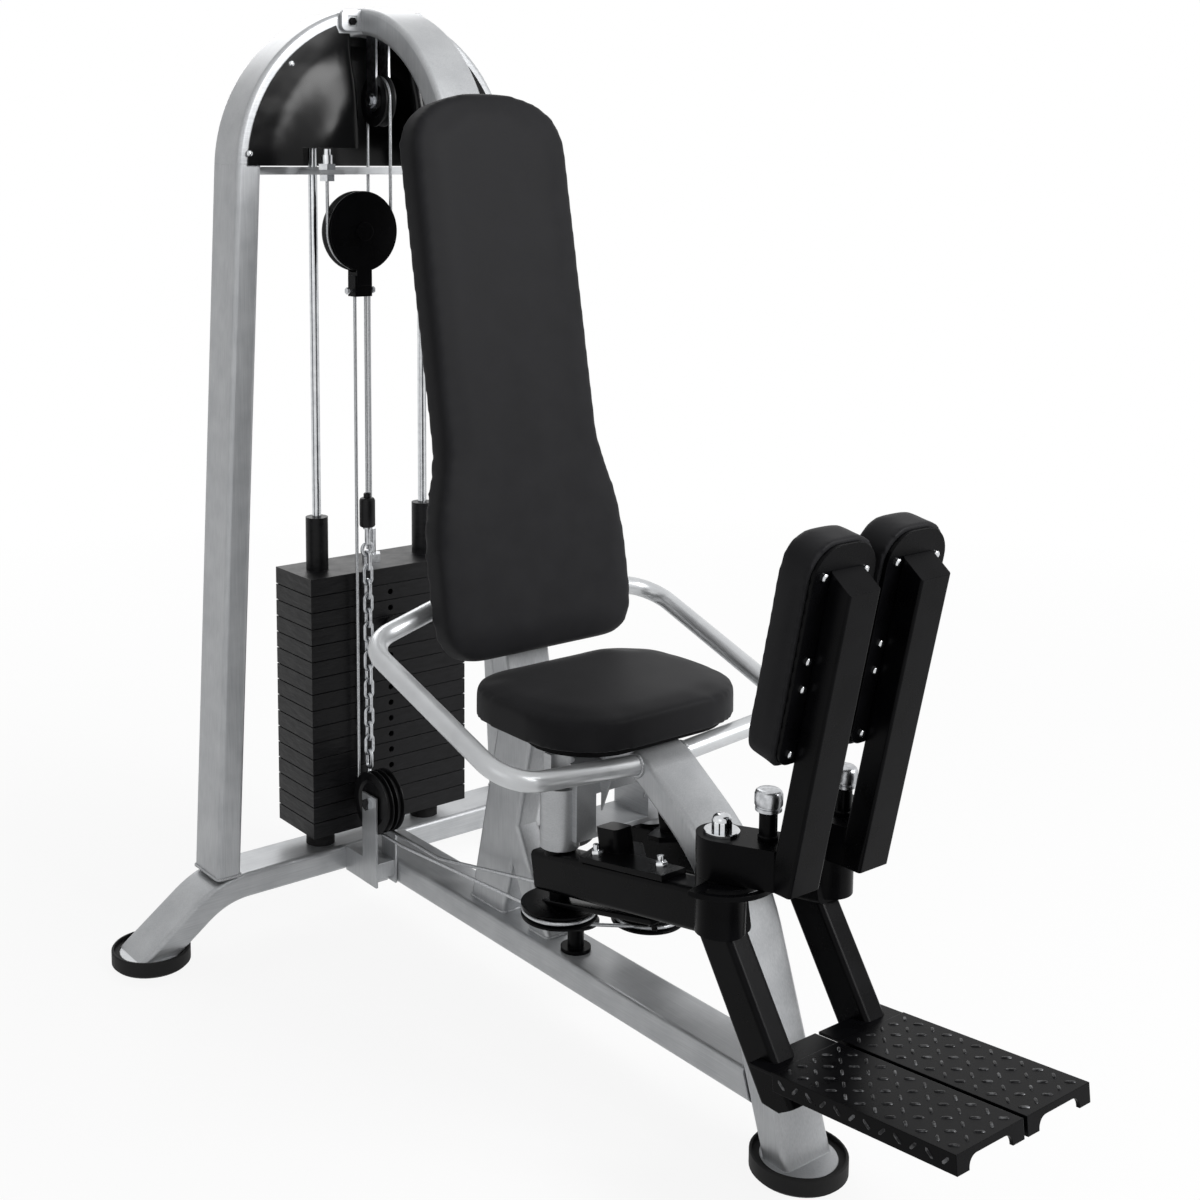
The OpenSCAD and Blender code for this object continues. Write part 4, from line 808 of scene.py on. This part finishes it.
def makeFittings(size):
    for side, sign in (("right", -1), ("left", 1)):
        hub = atMast(sign * size["hub"][0], size["hub"][1], size["hub"][2])
        turned = (("washer", 40), ("nut", 6), ("dome", 32))
        parts = [(size[name], hub, (0, 0, 1), sides) for name, sides in turned]
        rise = math.radians(size["armRise"])
        along, up = Vector((0, -math.cos(rise), math.sin(rise))), Vector((0, math.sin(rise), math.cos(rise)))
        for x, distance in size["bolts"]:
            place = atMast(sign * size["arm"][0] - sign * x, size["arm"][1], size["arm"][2])
            place += along * distance * mm + up * size["boltUp"] * mm
            parts += [(size["boltHead"], place, up, 6), (size["stud"], place, up, 20)]
        turnedPiece(side + "HubNut", chrome, side + "_arm", parts)
        lean = Matrix.Rotation(math.radians(size["lean"]), 3, "X")
        foot = atMast(sign * size["upright"][0], size["upright"][1], size["upright"][2])
        facing = lean @ Vector((0, -1, 0))
        spots = [(x, y) for x in (-size["screwX"], size["screwX"]) for y in size["rows"]]
        screws = []
        for x, y in spots:
            spot = Vector((sign * 0.5 + x, size["plateY"], size["plateUp"] + y)) * mm
            screws.append((size["screw"], foot + lean @ spot, facing, 20))
        turnedPiece(side + "PadScrews", chrome, side + "_carrier", screws)


makeFittings(fittingSettings)
print("fittings screwed on")


# Flat straps under the arms that brace the sheave shafts, each with a nut at its front end
strapSettings = {
    "start": (90, -640, 252), "end": (90, -884, 312), "wide": 36, "thick": 8, "round": 2, "nutBack": 16,
    "nut": [(8, 0), (8, 6), (7.2, 7), (4.5, 7), (4.5, 12), (3.5, 13)],
}


def makeStrap(side, sign, size):
    start, end = (atMast(sign * x, y, z) for x, y, z in (size["start"], size["end"]))
    along, across = (end - start).normalized(), Vector((1, 0, 0))
    up = across.cross(along) * -1
    mesh = bpy.data.meshes.new(side + "Strap")
    work = bmesh.new()
    bmesh.ops.create_cube(work, size=1)
    rows = (across * size["wide"] * mm, along * (end - start).length, up * size["thick"] * mm)
    shape = Matrix.Translation((start + end) / 2) @ Matrix(rows).transposed().to_4x4()
    bmesh.ops.transform(work, matrix=shape, verts=work.verts)
    bmesh.ops.bevel(work, geom=work.edges[:], offset=size["round"] * mm, segments=3, affect="EDGES",
                    profile=0.5)
    bmesh.ops.recalc_face_normals(work, faces=work.faces)
    work.to_mesh(mesh)
    work.free()
    shadeByAngle(mesh, 40)
    piece = newPiece(side + "Strap", mesh, black)
    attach(piece, side + "_arm")
    foot = end - along * size["nutBack"] * mm - up * (size["thick"] / 2) * mm
    turnedPiece(side + "StrapNut", black, side + "_arm", [(size["nut"], foot, -up, 6)])


makeStrap("right", -1, strapSettings)
makeStrap("left", 1, strapSettings)
print("straps bolted on")


# Raised bars rolled into the foot plates
treadSettings = {"pitch": 23, "long": 15, "wide": 4.6, "tall": 1.3, "margin": 11, "sink": 0.2, "flange": 24}


def addBar(work, place, along, side, up, size):  # low bar with sloped ends
    ring = [(1, 0), (0.72, 0.9), (-0.72, 0.9), (-1, 0), (-0.72, -0.9), (0.72, -0.9)]
    layers = []
    for shrink, height in ((1, -size["sink"]), (0.86, size["tall"] * 0.7), (0.55, size["tall"])):
        flats = [along * x * size["long"] / 2 + side * y * size["wide"] / 2 for x, y in ring]
        layers.append([work.verts.new(place + (f * shrink + up * height) * mm) for f in flats])
    for lower, upper in zip(layers, layers[1:]):
        for k in range(len(ring)):
            j = (k + 1) % len(ring)
            work.faces.new((lower[k], lower[j], upper[j], upper[k]))
    work.faces.new(layers[-1])


def barField(work, corner, right, forward, up, width, length, size):
    columns = max(1, int((width - 2 * size["margin"]) / size["pitch"]) + 1)
    rows = max(1, int((length - 2 * size["margin"]) / size["pitch"]) + 1)
    for i in range(columns):
        for j in range(rows):
            x = width / 2 + (i - (columns - 1) / 2) * size["pitch"]
            y = length / 2 + (j - (rows - 1) / 2) * size["pitch"]
            slant = 1 if (i + j) % 2 else -1
            along = (right + forward * slant).normalized()
            addBar(work, corner + (right * x + forward * y) * mm, along, up.cross(along), up, size)


def makeTread(side, size):
    mesh = nodes[side + "_footplate"].data
    top = max((face for face in mesh.polygons if face.normal.z > 0.95), key=lambda face: face.area)
    up = top.normal.copy()
    right = Vector((1, 0, 0))
    forward = up.cross(right)
    level = mesh.vertices[top.vertices[0]].co.dot(up)
    sheet = [v.co for v in mesh.vertices if abs(v.co.dot(up) - level) < 0.3 * mm]
    xs, ys = [c.x for c in sheet], [c.dot(forward) for c in sheet]
    width, length = (max(xs) - min(xs)) / mm, (max(ys) - min(ys)) / mm
    corner = right * min(xs) + forward * min(ys) + up * level
    work = bmesh.new()
    barField(work, corner, right, forward, up, width, length, size)
    outer = corner + right * (width * mm if side == "left" else 0) - up * size["flange"] * mm
    facing = right if side == "left" else -right
    barField(work, outer, up, forward, facing, size["flange"], length, size)
    bars = bpy.data.meshes.new(side + "Tread")
    bmesh.ops.recalc_face_normals(work, faces=work.faces)
    work.to_mesh(bars)
    work.free()
    shadeByAngle(bars, 60)
    piece = newPiece(side + "Tread", bars, tread)
    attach(piece, side + "_arm")


for side in ("right", "left"):
    makeTread(side, treadSettings)
print("tread rolled")


# Hand grips: bent tube, smooth over its bends, welded at both ends
gripSettings = {
    "points": ((-33, -410.5, 693), (-290, -442, 636), (-283, -788, 518), (-33, -778.6, 494)),
    "radii": (55, 60), "radius": 15, "wall": 45.1, "sides": 40, "bead": 2.6,
}


def toWall(start, inner, wall):  # the point of a run that meets the frame tube
    return start.lerp(inner, (-wall - start.x) / (inner.x - start.x))


def makeGrip(side, size):
    points = [Vector(p) for p in size["points"]]
    points[0] = toWall(points[0], points[1], size["wall"])
    points[-1] = toWall(points[-1], points[-2], size["wall"])
    flip = -1 if side == "left" else 1
    path = bentPath([atMast(flip * p.x, p.y, p.z) for p in points], [r * mm for r in size["radii"]], 6 * mm)
    tube = tubeMesh(side + "Grip", path, lambda length, angle: size["radius"] * mm, size["sides"])
    piece = newPiece(side + "Grip", tube, satin)
    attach(piece, "frame")
    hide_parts(side + "_handle")


for side in ("right", "left"):
    makeGrip(side, gripSettings)
print("grips bent")


# Weld beads where tubes are joined
weldSettings = {
    "radius": 2.6, "ripple": 3.4, "depth": 0.22, "corner": 8, "step": 1.6,
    "rectangles": {
        "rightPostWeld": ((-323.4, 0, 131.6), 22.6, 45), "leftPostWeld": ((323.4, 0, 131.6), 22.6, 45),
        "seatPostWeld": ((0, -386.5, 131.6), 22.5, 46), "propWeld": ((0, -525, 131.6), 22.5, 25.2),
    },
    "gripEnds": ((-45.6, -412, 690.2), (-45.6, -779, 494.2)), "gripRadius": 16,
}


def beadPiece(name, path, size):
    turns = math.tau / (size["ripple"] * mm)

    def beadRadius(length, angle):  # the overlapping puddles of the weld
        return size["radius"] * mm * (1 + size["depth"] * math.sin(turns * length + 0.6 * math.sin(angle)))

    piece = newPiece(name, tubeMesh(name, path, beadRadius, 10), steelX)
    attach(piece, "frame")


def makeWelds(size):
    for name, (centre, halfX, halfY) in size["rectangles"].items():
        x, y, z = centre
        corners = [(x, y - halfY), (x + halfX, y - halfY), (x + halfX, y + halfY), (x - halfX, y + halfY),
                   (x - halfX, y - halfY), (x, y - halfY)]
        path = bentPath([atMast(a, b, z) for a, b in corners], [size["corner"] * mm] * 4, size["step"] * mm)
        beadPiece(name, path, size)
    for side, sign in (("right", 1), ("left", -1)):
        for i, (x, y, z) in enumerate(size["gripEnds"]):
            centre = atMast(sign * x, y, z)
            path = [centre + Vector((0, math.cos(a), math.sin(a))) * size["gripRadius"] * mm
                    for a in (math.tau * k / 60 for k in range(61))]
            beadPiece(side + "GripWeld" + str(i + 1), path, size)


makeWelds(weldSettings)
print("beads laid")


# Floor, light and white surround, in metres
stageSettings = {"reach": 30, "fadeStart": 1, "fadeEnd": 4, "nearWhite": 0.9, "softLight": 0.24}


def shownRays(tree):  # 1 for what the camera sees, also in a reflection or through glass
    rays = addNode(tree, "LightPath", {}).outputs
    shown = rays["Is Camera Ray"]
    for kind in ("Is Glossy Ray", "Is Transmission Ray"):
        shown = addNode(tree, "Math", {0: shown, 1: rays[kind]}, operation="MAXIMUM").outputs["Value"]
    return shown


def makeStage():
    reach = stageSettings["reach"]
    corners = [(-reach, -reach, 0), (reach, -reach, 0), (reach, reach, 0), (-reach, reach, 0)]
    mesh = bpy.data.meshes.new("floor")
    mesh.from_pydata(corners, [], [(0, 1, 2, 3)])
    floor = bpy.data.objects.new("floor", mesh)
    scene.collection.objects.link(floor)
    material = bpy.data.materials.new("paleFloor")
    material.use_nodes = True
    tree = material.node_tree
    shader = tree.nodes["Principled BSDF"]
    shader.inputs["Base Color"].default_value = linear("f4f4f4")
    shader.inputs["Roughness"].default_value = 0.9
    shader.inputs["Specular IOR Level"].default_value = 0
    shown = shownRays(tree)
    place = addNode(tree, "NewGeometry", {}).outputs["Position"]
    away = addNode(tree, "VectorMath", {0: place}, operation="LENGTH")
    fade = addNode(tree, "MapRange", {  # the shadow stays near the machine, the far floor is white
        "Value": away.outputs["Value"], "From Min": stageSettings["fadeStart"],
        "From Max": stageSettings["fadeEnd"], "To Min": stageSettings["nearWhite"], "To Max": 1})
    seen = addNode(tree, "Math", {0: shown, 1: fade.outputs["Result"]}, operation="MULTIPLY")
    glow = addNode(tree, "Emission", {"Color": linear("ffffff"), "Strength": 1})
    mix = addNode(tree, "MixShader", {
        0: seen.outputs["Value"], 1: shader.outputs["BSDF"], 2: glow.outputs["Emission"]})
    tree.links.new(mix.outputs["Shader"], tree.nodes["Material Output"].inputs["Surface"])
    mesh.materials.append(material)


lightSettings = {
    "key": {"place": (1.6, -3.4, 3.0), "size": 2.0, "watts": 190},
    "fill": {"place": (-3.2, -1.6, 2.0), "size": 2.4, "watts": 8},
    "back": {"place": (0.8, 3.2, 2.8), "size": 2.2, "watts": 40},
}


def makeLights():
    target = Vector((0, 0, 0.8))
    for name, settings in lightSettings.items():
        data = bpy.data.lights.new(name, "AREA")
        data.size = settings["size"]
        data.energy = settings["watts"]
        lamp = bpy.data.objects.new(name, data)
        lamp.location = settings["place"]
        lamp.rotation_euler = (target - lamp.location).to_track_quat("-Z", "Y").to_euler()
        scene.collection.objects.link(lamp)


def makeSurround():
    world = bpy.data.worlds.new("studio")
    world.use_nodes = True
    scene.world = world
    tree = world.node_tree
    soft = tree.nodes["Background"]
    soft.inputs["Color"].default_value = linear("ffffff")
    soft.inputs["Strength"].default_value = stageSettings["softLight"]
    white = addNode(tree, "Background", {"Color": linear("ffffff"), "Strength": 1})
    mix = addNode(tree, "MixShader", {0: shownRays(tree), 1: soft.outputs["Background"],
                                      2: white.outputs["Background"]})
    tree.links.new(mix.outputs["Shader"], tree.nodes["World Output"].inputs["Surface"])


makeStage()
makeLights()
makeSurround()
print("stage lit")
